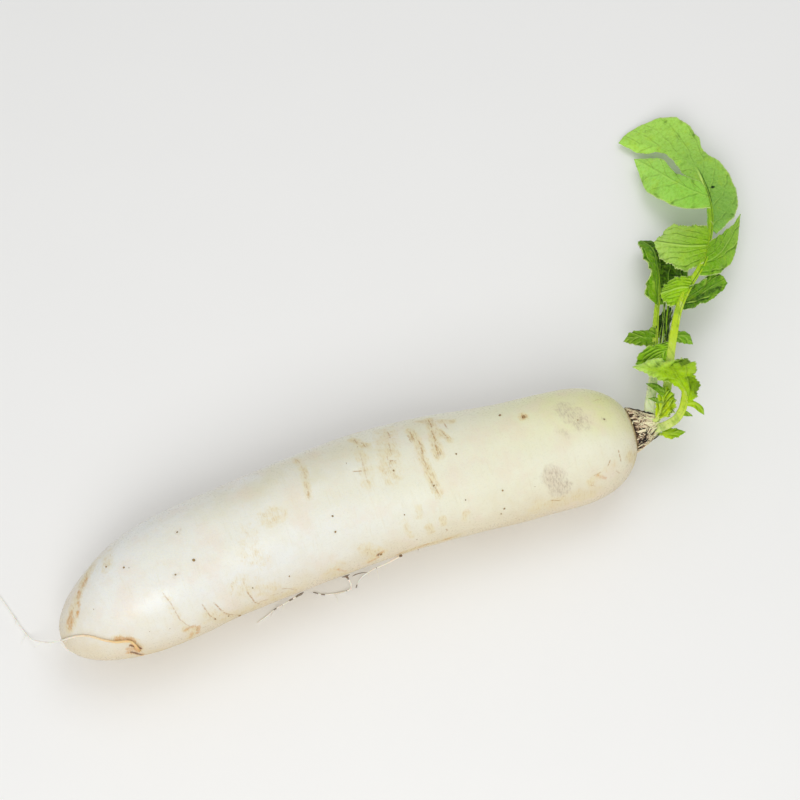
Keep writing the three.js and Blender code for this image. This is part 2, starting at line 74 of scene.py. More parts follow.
# A smooth curve through points, sampled at equal steps of its length.
def samplesAlong(points, count):
    points = [Vector(p) for p in points]
    ghosts = [2 * points[0] - points[1], *points, 2 * points[-1] - points[-2]]
    dense = []
    for p0, p1, p2, p3 in zip(ghosts, ghosts[1:], ghosts[2:], ghosts[3:]):
        d0, d1, d2 = ((b - a).length ** 0.5 for a, b in ((p0, p1), (p1, p2), (p2, p3)))
        leave = ((p1 - p0) / d0 - (p2 - p0) / (d0 + d1) + (p2 - p1) / d1) * d1
        arrive = ((p2 - p1) / d1 - (p3 - p1) / (d1 + d2) + (p3 - p2) / d2) * d1
        for k in range(spanSteps):
            t = k / spanSteps
            rise = 3 * t**2 - 2 * t**3
            dense.append(p1.lerp(p2, rise) + leave * (t**3 - 2 * t**2 + t) + arrive * (t**3 - t**2))
    dense.append(points[-1])
    reached = [0]
    for a, b in zip(dense, dense[1:]):
        reached.append(reached[-1] + (b - a).length)
    samples = []
    i = 0
    for k in range(count + 1):
        goal = reached[-1] * k / count
        while i < len(dense) - 2 and reached[i + 1] < goal:
            i += 1
        part = (goal - reached[i]) / (reached[i + 1] - reached[i])
        samples.append(dense[i].lerp(dense[i + 1], part))
    return samples


def newObject(name, bm, finish):
    mesh = bpy.data.meshes.new(name)
    bm.to_mesh(mesh)
    bm.free()
    mesh.materials.append(finish)
    thing = bpy.data.objects.new(name, mesh)
    bpy.context.scene.collection.objects.link(thing)
    return thing


# Faces turned outwards, and the piece taken to its place in metres.
def placed(bm, place):
    bmesh.ops.recalc_face_normals(bm, faces=bm.faces)
    bm.transform(place)
    return bm


# A finished piece: its finish, body and the CAD nodes that it stands for. sheet is a thickness in
# mm, for blades.
def keepPiece(name, bm, finish, nodes=(), sheet=0):
    piece = newObject(name, bm, finish)
    piece.data.shade_smooth()
    if sheet:
        solidify = piece.modifiers.new("sheet", "SOLIDIFY")
        solidify.thickness = sheet * mm
        solidify.offset = 0
    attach(piece, "root")
    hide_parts(*nodes)


# Camera at the photo's angle, soft light and a pale floor
view = {
    "target": (0.06057, 0.06744, 0.0),
    "azimuth": -21.5,
    "elevation": 60,
    "distance": 1.13,
    "lens": 90,
}
studio = {
    "sky": (1.0, 1.0, 1.0),
    "skyStrength": 0.56,
    # name: place, aim, size in metres, watts, colour
    "lamps": {
        "frontSoftbox": ((-0.5, -1.1, 1.2), (0.02, 0.0, 0.03), 0.9, 13, (1.0, 0.985, 0.96)),
        "topSoftbox": ((0.35, 0.35, 1.35), (0.05, 0.05, 0.02), 0.9, 3, (0.97, 0.985, 1.0)),
    },
    "floorSize": 8,
    "floorColour": (0.9, 0.9, 0.89),
}


def directionFrom(azimuth, elevation):
    a = math.radians(azimuth)
    e = math.radians(elevation)
    return Vector((math.sin(a) * math.cos(e), -math.cos(a) * math.cos(e), math.sin(e)))


def addCamera():
    camera = bpy.data.objects.new("camera", bpy.data.cameras.new("camera"))
    bpy.context.scene.collection.objects.link(camera)
    back = directionFrom(view["azimuth"], view["elevation"])
    camera.location = Vector(view["target"]) + back * view["distance"]
    camera.rotation_mode = "QUATERNION"
    camera.rotation_quaternion = (-back).to_track_quat("-Z", "Y")
    camera.data.lens = view["lens"]
    camera.data.sensor_width = 36
    bpy.context.scene.camera = camera


def addLamps():
    world = bpy.data.worlds.new("studio")
    world.use_nodes = True
    sky = world.node_tree.nodes["Background"]
    sky.inputs["Color"].default_value = (*studio["sky"], 1)
    sky.inputs["Strength"].default_value = studio["skyStrength"]
    bpy.context.scene.world = world
    for name, (place, aim, size, watts, colour) in studio["lamps"].items():
        lamp = bpy.data.lights.new(name, "AREA")
        lamp.size = size
        lamp.energy = watts
        lamp.color = colour
        stand = bpy.data.objects.new(name, lamp)
        stand.location = place
        stand.rotation_mode = "QUATERNION"
        stand.rotation_quaternion = (Vector(aim) - Vector(place)).to_track_quat("-Z", "Y")
        bpy.context.scene.collection.objects.link(stand)
    bpy.context.scene.view_settings.view_transform = "Standard"


# Shading nodes, shared by the finishes below
def paint(red, green, blue):
    def linear(value):
        value /= 255
        return value / 12.92 if value <= 0.04045 else ((value + 0.055) / 1.055) ** 2.4

    return (linear(red), linear(green), linear(blue), 1)


def newFinish(name, settings):
    finish = bpy.data.materials.new(name)
    finish.use_nodes = True
    shader = finish.node_tree.nodes["Principled BSDF"]
    for socket, value in settings.items():
        shader.inputs[socket].default_value = value
    return finish, finish.node_tree, shader


def feed(tree, socket, value):
    if isinstance(value, bpy.types.NodeSocket):
        tree.links.new(value, socket)
    else:
        socket.default_value = value


# A noise whose grain is given in millimetres, and is longer along x, y or z by stretch.
def grain(tree, size, detail=2.0, rough=0.5, stretch=(1, 1, 1), twist=0.0):
    place = tree.nodes.new("ShaderNodeTexCoord")
    mapping = tree.nodes.new("ShaderNodeMapping")
    mapping.inputs["Scale"].default_value = [1 / s for s in stretch]
    texture = tree.nodes.new("ShaderNodeTexNoise")
    texture.inputs["Scale"].default_value = 1 / (size * mm)
    texture.inputs["Detail"].default_value = detail
    texture.inputs["Roughness"].default_value = rough
    texture.inputs["Distortion"].default_value = twist
    tree.links.new(place.outputs["Object"], mapping.inputs["Vector"])
    tree.links.new(mapping.outputs["Vector"], texture.inputs["Vector"])
    return texture.outputs["Fac"]


def coordinateOf(tree, axis):
    place = tree.nodes.new("ShaderNodeTexCoord")
    split = tree.nodes.new("ShaderNodeSeparateXYZ")
    tree.links.new(place.outputs["Object"], split.inputs["Vector"])
    return split.outputs[axis]


def painted(tree, name, output="Fac"):
    attribute = tree.nodes.new("ShaderNodeAttribute")
    attribute.attribute_name = name
    return attribute.outputs[output]


# 0 below low, 1 above high, smooth between; low may be above high.
def step(tree, value, low, high, top=1.0):
    node = tree.nodes.new("ShaderNodeMapRange")
    node.interpolation_type = "SMOOTHSTEP"
    feed(tree, node.inputs["Value"], value)
    feed(tree, node.inputs["From Min"], low)
    feed(tree, node.inputs["From Max"], high)
    node.inputs["To Max"].default_value = top
    return node.outputs["Result"]


def calc(tree, operation, first, second=0.0):
    node = tree.nodes.new("ShaderNodeMath")
    node.operation = operation
    feed(tree, node.inputs[0], first)
    feed(tree, node.inputs[1], second)
    return node.outputs["Value"]


# Sums and products of several values
def joined(tree, operation, parts):
    result = parts[0]
    for part in parts[1:]:
        result = calc(tree, operation, result, part)
    return result


def plus(tree, *parts):
    return joined(tree, "ADD", parts)


def times(tree, *parts):
    return joined(tree, "MULTIPLY", parts)


# A value with noise of a grain size in mm added, from 0 to amount.
def clouded(tree, value, size, amount, detail=2.0):
    return plus(tree, value, times(tree, grain(tree, size, detail), amount))


# Noise round 0, up to half the amount either way.
def flecks(tree, amount, *grainSettings):
    return times(tree, calc(tree, "SUBTRACT", grain(tree, *grainSettings), 0.5), amount)


def over(tree, share, under, top, how="MIX"):
    node = tree.nodes.new("ShaderNodeMix")
    node.data_type = "RGBA"
    node.blend_type = how
    feed(tree, node.inputs["Factor"], share)
    feed(tree, node.inputs["A"], under)
    feed(tree, node.inputs["B"], top)
    return node.outputs["Result"]


# Coats of colour over each other. A row gives a coat's share, its colour's name in tones and,
# where it isn't plain paint, how it is mixed.
def coats(tree, tones, colour, *rows):
    for share, tone, *how in rows:
        colour = over(tree, share, colour, paint(*tones[tone]), *how)
    return colour


# A colour ramp through stops, each a place and a colour.
def rampOver(tree, value, stops):
    ramp = tree.nodes.new("ShaderNodeValToRGB")
    elements = ramp.color_ramp.elements
    for k in (0, -1):
        elements[k].position = stops[k][0]
        elements[k].color = paint(*stops[k][1])
    for place, colour in stops[1:-1]:
        elements.new(place).color = paint(*colour)
    feed(tree, ramp.inputs["Fac"], value)
    return ramp.outputs["Color"]


def bumpFrom(tree, shader, height, depth, strength=1.0):
    bump = tree.nodes.new("ShaderNodeBump")
    bump.inputs["Strength"].default_value = strength
    bump.inputs["Distance"].default_value = depth * mm
    feed(tree, bump.inputs["Height"], height)
    tree.links.new(bump.outputs["Normal"], shader.inputs["Normal"])


def floorFinish():
    finish, tree, shader = newFinish("paleFloor", {"Roughness": 0.6})
    warm = studio["floorColour"]
    cool = [value * 0.985 for value in warm]
    colour = over(tree, grain(tree, 60), (*warm, 1), (*cool, 1))
    tree.links.new(colour, shader.inputs["Base Color"])
    return finish


def addFloor():
    bm = bmesh.new()
    bmesh.ops.create_grid(bm, x_segments=4, y_segments=4, size=studio["floorSize"] / 2)
    floor = newObject("floor", bm, floorFinish())


addCamera()
addLamps()
addFloor()
print("camera, lamps and floor are set")


# Tubes along a route, for rootlets, stalks, crown flakes and fibres. sizeAt gives half width and
# half height at a share of the route; the height stands towards up, if that is given.
def addTube(bm, route, steps, sides, sizeAt, groove=0.0, ribs=0.0, layer=None, tone=None, up=None,
            sideLayer=None):
    verts = bmesh.ops.create_grid(bm, x_segments=steps, y_segments=sides, size=0.5)["verts"]
    line = samplesAlong(route, steps * 4)
    for vert in verts:
        row = round((vert.co.x + 0.5) * steps)
        around = round((vert.co.y + 0.5) * sides) % sides
        share = row / steps
        if row == 1:
            share = 0.15 / steps
        if row == steps - 1:
            share = 1 - 0.15 / steps
        place = share * steps * 4
        low = min(int(place), steps * 4 - 1)
        centre = line[low].lerp(line[low + 1], place - low)
        tangent = (line[min(low + 2, steps * 4)] - line[max(low - 1, 0)]).normalized()
        across = tangent.cross(up or Vector((0, 0, 1))).normalized()
        lift = across.cross(tangent)
        angle = around / sides * 2 * math.pi
        halfWidth, halfHeight = (0, 0) if row in (0, steps) else sizeAt(share)
        channel = groove * max(math.sin(angle), 0) ** 4
        rib = 1 + ribs * math.cos(angle * 7)
        vert.co = centre - across * halfWidth * rib * math.cos(angle)
        vert.co += lift * halfHeight * rib * (math.sin(angle) - channel)
        if layer:
            vert[layer] = share if tone is None else tone
        if sideLayer:
            vert[sideLayer] = math.cos(angle)
    bmesh.ops.remove_doubles(bm, verts=verts, dist=1e-5)


def roughen(bm, depth, size, seed=0.0):
    bm.normal_update()
    for vert in bm.verts:
        amount = noise.noise(vert.co / size + Vector((seed, seed, 0)))
        vert.co += vert.normal * depth * amount


# Root
root = {
    "tailEnd": -159,
    "crownEnd": 165,
    "bow": [(-159, -16), (-135, -12.7), (-105, -8), (-70, -2.8), (-30, -0.6), (8, 0.4), (50, -2),
            (90, -7), (130, -10.5), (165, -13.7)],
    "thickness": [(-159, 60), (-110, 67.2), (-70, 67.2), (-30, 68.8), (10, 68.6), (50, 67.8),
                  (90, 65.2), (130, 63.2), (165, 60)],
    "tailEndLength": 129,
    "tailEndFullness": 4.3,
    "crownEndLength": 45,
    "crownEndFullness": 3.2,
    "crownCentre": (165, -13.7, 32.5),  # where the crown leaves the root
    "restDepth": 1.0,
    "highestAxis": 34,
    "tailDropFrom": -110,  # the axis sinks from there to the tail, by tailDrop for each mm
    "tailDrop": 0.05,
    "crownLiftFrom": 125,  # and rises from there to the crown
    "crownLift": 0.04,
    "unevenness": 0.5,
    "rings": 480,
    "sides": 200,
    "swell": 0.3,  # low bumps
    "pitting": 0.06,
    "ringDepth": 0.08,  # growth rings round the root
    "scratchDepth": 0.16,
    "markReach": 60,  # a mark that starts farther round the root than this isn't looked at
    "scars": 60,
    "scarsAlong": (-140, 130),
    "scarRows": [165, 345],  # degrees round the root
    "smallSpots": 26,
    "smallSpotsAlong": (-150, 152),
    "smallSpotRadius": (0.12, 0.22),
    "seed": 11,
}

# Marks on the skin, as lines: half a width in mm, a strength, and points of x and angle round the
# root (90 is the top, 180 the photo's side).
skinMarks = {
    "haze": [
        (5, 0.9, [(-134, 46), (-141, 57), (-148, 74), (-152, 93)]),
        (5, 0.5, [(-132, 42), (-126, 40), (-123, 50), (-125, 66)]),
        (3.5, 0.9, [(-133, 147), (-129, 151), (-125, 160), (-123, 178)]),
        (7, 0.5, [(-128, 188), (-116, 198), (-100, 198)]),
        (3.5, 0.9, [(-99, 167), (-94, 175), (-97, 186)]), (3, 0.4, [(-103, 128), (-99, 160)]),
        (7, 0.6, [(-84, 166), (-72, 186), (-56, 188), (-38, 188)]),
        (8, 0.5, [(-66, 148), (-59, 158), (-51, 168)]), (8, 0.4, [(-51, 134), (-57, 124), (-54, 109)]),
        (5, 0.55, [(-44, 101), (-39, 99), (-35, 103), (-41, 105)]),
        (3, 0.7, [(-16, 48), (-15, 68), (-16, 82), (-18, 98)]),
        (3.5, 0.9, [(16, 49), (18, 60), (21, 67)]), (5, 0.5, [(17, 71), (15, 90), (13, 106)]),
        (8, 0.6, [(34, 50), (31, 70), (28, 88), (26, 102)]),
        (3.5, 1.0, [(45, 60), (46, 78), (45, 96), (45, 112), (46, 130)]),
        (4, 1.0, [(58, 48), (57, 66), (54, 86), (53, 97)]), (3, 0.9, [(59, 70), (62, 83)]),
        (3, 0.7, [(53, 47), (61, 55), (69, 60)]), (2.6, 1.0, [(45, 153), (45, 160)]),
        (3.2, 0.8, [(37, 159), (38, 166)]), (2.6, 0.7, [(58, 154), (56, 161)]),
        (2.5, 0.6, [(34, 136), (33, 146)]), (2.5, 0.5, [(25, 147), (27, 167)]),
        (6, 0.7, [(2, 164), (9, 176), (4, 186)]), (6, 0.5, [(-14, 172), (-20, 180)]),
        (4, 0.9, [(22, 192), (32, 189), (41, 190), (52, 188)]),
        (4, 0.6, [(-16, 186), (-8, 196), (-2, 200)]), (3.6, 0.7, [(127, 157), (131, 153)]),
        (3, 0.4, [(137, 149), (142, 146)]), (4, 0.8, [(152, 148), (157, 162), (157, 178)]),
        (8, 0.5, [(96, 170), (110, 172), (128, 172)]), (3.4, 1.0, [(103.5, 75), (104.5, 75)]),
        (5, 0.6, [(20, 8), (22, 30)]), (5, 0.6, [(-60, 350), (-62, 22)]),
        (6, 0.5, [(96, 350), (94, 14)]), (8, 0.5, [(60, 322), (40, 328)]),
        (8, 0.5, [(-34, 230), (-10, 236)]), (5, 0.6, [(-104, 10), (-98, 24)]),
    ],
    "rust": [
        (1.7, 1.0, [(-133, 147), (-129, 150), (-126, 154), (-125, 160)]),
        (1.6, 1.0, [(-127, 163), (-124.5, 168), (-122.5, 176)]),
        (2.2, 1.0, [(-129, 175), (-126, 181), (-122.5, 196)]), (2, 1.0, [(-129, 168), (-125, 173)]),
        (1.5, 0.9, [(-99, 168), (-94, 168)]), (1.5, 1.0, [(-92, 172), (-93, 183)]),
        (1.4, 0.8, [(-96, 176), (-97, 186)]), (1.6, 0.8, [(-137, 55), (-140, 58)]),
        (1.5, 0.8, [(-143, 59), (-144, 68)]), (1.7, 0.9, [(-150, 77), (-153, 83)]),
        (1.8, 0.9, [(-151, 90), (-152.5, 97)]), (1.3, 0.7, [(-145, 74), (-145, 79)]),
        (1.4, 0.7, [(-146, 85), (-148, 90)]), (1.4, 1.0, [(11, 175), (8, 180)]),
        (1.1, 1.0, [(9, 184), (3, 187)]), (1.3, 0.9, [(23, 188), (19, 193)]),
        (1.2, 0.8, [(-14, 178), (-10, 186)]), (1.5, 0.7, [(131, 152), (135, 158)]),
        (1.8, 0.9, [(103.6, 75), (104.6, 75)]), (1.4, 0.7, [(31, 192), (36, 187)]),
        (1.4, 0.7, [(45, 190), (50, 189)]),
    ],
    "grey": [
        (8, 0.8, [(127, 78), (131, 94)]), (3, 0.5, [(118, 96), (121, 104)]),
        (8, 1.1, [(107, 139), (110, 153)]), (1.8, 0.7, [(143, 96), (144, 97)]),
        (2.2, 0.6, [(-95, 113), (-94, 113)]), (2.4, 0.5, [(-87, 78), (-86, 78)]),
        (5, 0.4, [(-70, 191), (-64, 193)]), (6, 0.5, [(40, 28), (42, 36)]),
    ],
    # dark slits and pits
    "scar": [
        (1.0, 1.0, [(-127.5, 163), (-125, 168), (-122.5, 175)]),
        (1.1, 1.0, [(-128, 177), (-126, 182), (-123, 196)]), (1.3, 0.8, [(9, 178), (8.6, 181)]),
        (1.2, 0.8, [(103.6, 75), (104.6, 75)]), (0.9, 0.5, [(-98, 168), (-94.5, 168.5)]),
        (0.9, 0.5, [(-92.5, 173), (-93, 182)]),
    ],
    # thin brown scratches
    "scratch": [
        (0.3, 0.55, [(-104, 122), (-102, 133), (-100, 153), (-96, 167)]),
        (0.35, 0.7, [(-87, 149), (-85, 163), (-82, 175)]),
        (0.35, 0.8, [(-81, 153), (-77, 171), (-71, 185), (-70, 191)]),
        (0.35, 0.9, [(-63, 158), (-60, 178), (-57, 187)]), (0.3, 0.6, [(-60, 178), (-53, 181)]),
        (0.35, 0.8, [(-45, 173), (-41, 178), (-37, 187)]), (0.3, 0.6, [(-52, 176), (-45, 179)]),
        (0.3, 0.7, [(-133, 148), (-129, 150), (-125.5, 156)]), (0.3, 0.5, [(-137, 55), (-140, 59)]),
        (0.3, 0.5, [(-143, 57), (-145, 66)]), (0.3, 0.6, [(-150, 76), (-153, 84)]),
        (0.3, 0.5, [(-151, 88), (-153, 97)]), (0.25, 0.5, [(-16, 48), (-15, 60)]),
        (0.25, 0.4, [(-15, 68), (-16, 82)]), (0.25, 0.6, [(-17, 87), (-18, 98)]),
        (0.35, 0.8, [(17, 50), (17, 58)]), (0.3, 0.7, [(19, 59), (20, 67)]),
        (0.3, 0.4, [(16, 72), (14, 90), (13, 105)]), (0.35, 0.9, [(8.5, 90), (14, 92)]),
        (0.35, 0.9, [(28, 89), (31, 91)]), (0.3, 0.7, [(35, 52), (34, 64)]),
        (0.3, 0.6, [(32, 70), (31, 80)]), (0.3, 0.5, [(28, 84), (27, 97)]),
        (0.4, 0.9, [(45, 62), (45, 74)]), (0.35, 0.7, [(47, 77), (46, 91)]),
        (0.3, 0.6, [(45, 95), (45, 107)]), (0.35, 0.7, [(44, 113), (46, 129)]),
        (0.3, 0.6, [(43, 66), (43, 76)]), (0.45, 1.0, [(58, 48), (57, 62)]),
        (0.45, 1.0, [(56, 67), (55, 81)]), (0.35, 0.8, [(54, 84), (53, 97)]),
        (0.35, 0.9, [(60, 69), (62, 83)]), (0.3, 0.8, [(64, 60), (64, 68)]),
        (0.3, 0.6, [(52, 46), (58, 49), (61, 55)]), (0.3, 0.8, [(46, 168), (47, 172), (44, 175)]),
        (0.35, 0.9, [(104, 166), (109, 170)]), (0.3, 0.8, [(146, 133), (146, 147)]),
        (0.3, 0.8, [(140, 140), (138, 145)]), (0.3, 0.6, [(129, 151), (134, 149)]),
        (0.3, 0.5, [(142, 155), (145, 163)]), (0.3, 0.5, [(126, 160), (129, 164)]),
        (0.3, 0.5, [(143, 72), (149, 66)]), (0.3, 0.7, [(24, 191), (34, 187)]),
        (0.3, 0.6, [(37, 191), (50, 188)]), (0.3, 0.6, [(-66, 350), (-60, 28)]),
        (0.3, 0.6, [(70, 345), (74, 30)]), (0.3, 0.6, [(120, 355), (123, 33)]),
    ],
}

# Small dried spots on the skin: x, angle, radius in mm
skinSpots = [
    (93, 66, 0.75), (104, 75, 0.7), (62, 99, 0.5), (79, 140, 0.5), (78, 160, 0.6), (59, 141, 0.35),
    (76, 166, 0.4), (144, 96, 0.4), (130, 92, 0.4), (-84, 109, 0.7), (-95, 113, 0.4), (-87, 78, 0.35),
    (-118, 81, 0.5), (-126, 66, 0.4), (-10, 121, 0.45), (-11, 135, 0.55), (28, 100, 0.5),
    (-70, 191, 0.8), (-40, 160, 0.35), (45, 122, 0.4), (10, 179, 0.6), (26, 140, 0.35), (-60, 156, 0.3),
    (-83, 172, 0.35), (-76, 178, 0.35),
]


# The turn from one angle in degrees to another, the short way round, in radians.
def turned(start, end):
    return math.radians(math.remainder(end - start, 360))


def endRounding(x):
    tail = (root["tailEnd"] + root["tailEndLength"] - x) / root["tailEndLength"]
    crown = (x - root["crownEnd"] + root["crownEndLength"]) / root["crownEndLength"]
    tailShare = 1 - max(tail, 0) ** root["tailEndFullness"]
    crownShare = 1 - max(crown, 0) ** root["crownEndFullness"]
    return math.sqrt(max(tailShare, 0) * max(crownShare, 0))


def rootAxis(x):
    resting = alongPairs(root["thickness"], x) / 2 - root["restDepth"]
    tailDrop = root["tailDrop"] * max(root["tailDropFrom"] - x, 0)
    crownLift = root["crownLift"] * max(x - root["crownLiftFrom"], 0)
    height = min(resting, root["highestAxis"]) - tailDrop + crownLift
    return Vector((x, alongPairs(root["bow"], x), height))


# Centre, sideways direction, radius and end rounding of the ring at x.
def ringAt(x):
    tangent = rootAxis(x + 1) - rootAxis(x - 1)
    side = Vector((-tangent.y, tangent.x, 0)).normalized()
    return rootAxis(x), side, alongPairs(root["thickness"], x) / 2 * endRounding(x), endRounding(x)


# A point on the ring at an angle in degrees, with the skin's low relief added to its reach.
def skinPoint(ring, degrees, relief=0.0):
    centre, side, radius, rounding = ring
    angle = math.radians(degrees)
    upper = 0.5 + 0.5 * math.sin(angle)
    wave = math.sin(centre.x / 19 + 2 * angle) + math.sin(centre.x / 31 - 3 * angle + 1)
    reach = radius + root["unevenness"] * wave * upper * rounding**2 + relief
    point = centre + side * reach * math.cos(angle)
    point.z = max(centre.z + reach * math.sin(angle), 0)
    return point


# The skin's point at its own x and angle, and the direction out of the root there.
def onSkin(x, degrees):
    lean = ringAt(x)[1].x * ringAt(x)[2] * math.cos(math.radians(degrees))
    here, onward = (skinPoint(ringAt(x - lean + d), degrees) for d in (0, 0.3))
    beside = skinPoint(ringAt(x - lean), degrees + 0.5)
    return here, (onward - here).cross(beside - here).normalized()


# Rings stand close together at the two ends, and evenly between them.
def ringPlace(share):
    crowd = 0.02
    near = crowd * (math.exp(-share / crowd) - 1)
    far = crowd * (1 - math.exp(-(1 - share) / crowd))
    return share + 0.9 * (near + far)


# Short crossways scars that the side rootlets leave, most of them in two rows.
def lenticels(draw):
    scars = []
    for _ in range(root["scars"]):
        x = draw.uniform(*root["scarsAlong"])
        angle = draw.choice(root["scarRows"]) + draw.gauss(0, 26)
        end = (x + draw.uniform(-0.8, 0.8), angle + draw.uniform(2, 6))
        scars.append((0.25, draw.uniform(0.1, 0.24), [(x, angle), end]))
    return scars


def growthRings(x, angle, radius):
    spot = Vector((x / 4.5, radius * math.cos(angle) / 60, radius * math.sin(angle) / 60))
    line = max(1 - abs(noise.noise(spot)) * 14, 0)
    fade = smoothStep(-0.05, 0.4, noise.noise(spot * 0.35 + Vector((7, 3, 1))))
    return line * fade


# How far a point of the skin is from a line of marks in mm, on which side, and how far along.
def nearLine(points, x, degrees, radius):
    nearest = (99.0, 1, 0.0)
    for k, ((x0, a0), (x1, a1)) in enumerate(zip(points, points[1:])):
        runX = x1 - x0
        runAround = turned(a0, a1) * radius
        hereX = x - x0
        hereAround = turned(a0, degrees) * radius
        t = (hereX * runX + hereAround * runAround) / max(runX**2 + runAround**2, 0.01)
        t = min(max(t, 0), 1)
        gap = math.hypot(hereX - runX * t, hereAround - runAround * t)
        if gap < nearest[0]:
            across = 1 if hereX * runAround > hereAround * runX else -1
            nearest = (gap, across, (k + t) / (len(points) - 1))
    return nearest


def makeRoot():
    draw = random.Random(root["seed"])
    marks = [(kind, *row) for kind, rows in skinMarks.items() for row in rows]
    marks += [("scratch", *row) for row in lenticels(draw)]
    bm = bmesh.new()
    bmesh.ops.create_uvsphere(bm, u_segments=root["sides"], v_segments=root["rings"], radius=1)
    names = ("haze", "rust", "grey", "scar", "scratch", "beside")
    layers = {name: bm.verts.layers.float.new(name) for name in names}
    start = root["tailEnd"]
    first = ringPlace(0)
    whole = ringPlace(1) - first
    rings = {}
    for vert in bm.verts:
        row = round(math.acos(min(max(vert.co.z, -1), 1)) / math.pi * root["rings"])
        if row not in rings:
            share = 1 - (ringPlace(row / root["rings"]) - first) / whole
            x = start + (root["crownEnd"] - start) * share
            near = [m for m in marks if min(p[0] for p in m[3]) - 12 < x < max(p[0] for p in m[3]) + 12]
            rings[row] = (x, ringAt(x), near)
        x, ring, near = rings[row]
        _, side, radius, rounding = ring
        angle = math.atan2(vert.co.y, vert.co.x)
        degrees = math.degrees(angle)
        spot = Vector((x, radius * math.cos(angle), radius * math.sin(angle)))
        clear = smoothStep(-1, -0.75, math.sin(angle)) * min(rounding * 1.5, 1)
        relief = root["swell"] * noise.noise(spot / 17) + root["pitting"] * noise.noise(spot / 3.2)
        relief -= root["ringDepth"] * growthRings(x, angle, max(radius, 12))
        markX = x + side.x * radius * math.cos(angle)
        for kind, halfWidth, strength, points in near:
            if abs(turned(points[0][1], degrees)) * radius > root["markReach"]:
                continue
            gap, across, t = nearLine(points, markX, degrees, max(radius, 6))
            if kind != "scratch":
                blob = strength * (1 - (gap / halfWidth) ** 2)
                vert[layers[kind]] = max(vert[layers[kind]], blob, 0)
                relief -= 0.5 * max(blob, 0) if kind == "scar" else 0
                continue
            taper = smoothStep(0, 0.15, t + 0.08) * smoothStep(0, 0.15, 1.08 - t)
            amount = strength * taper * math.exp(-((gap / 1.1) ** 2))
            if amount > vert[layers["scratch"]]:
                vert[layers["scratch"]] = amount
                vert[layers["beside"]] = across * min(gap, 3)
            relief -= root["scratchDepth"] * (halfWidth / 0.3) ** 2 * amount
        vert.co = skinPoint(ring, degrees, relief * clear)
    bm.normal_update()
    bm.transform(toMetres)
    return bm


# Pale skin: greener on the crown's shoulder, with painted shade on the top and the far upper side and
# warmer painted shade underneath, golden haze, tan patches, grey scuffs, dark slits and thin brown
# scratches where the marks are.
skinTones = {
    "tailHalf": (231, 232, 227),
    "crownHalf": (232, 231, 209),
    # painted shade: darker on the top and towards the far upper side
    "top": (220, 215, 180),
    "farShoulder": (214, 206, 162),
    "green": (222, 224, 146),
    "crownEnd": (224, 220, 150),
    # painted shade, warm, on the lower flank and underneath
    "flank": (216, 202, 172),
    "underside": (206, 184, 142),
    "cream": (231, 225, 200),
    "rosy": (230, 210, 192),
    "mottle": (222, 218, 190),
    "growthRing": (216, 206, 172),
    "haze": (225, 208, 152),
    "hazeFleck": (198, 168, 108),
    "hazeSpeck": (158, 122, 70),
    "rust": (206, 154, 90),
    "scuff": (208, 194, 170),
    "scuffFleck": (160, 142, 120),
    "scratch": (178, 134, 76),
    "slit": (108, 62, 32),
    "crownRim": (186, 156, 84),
}


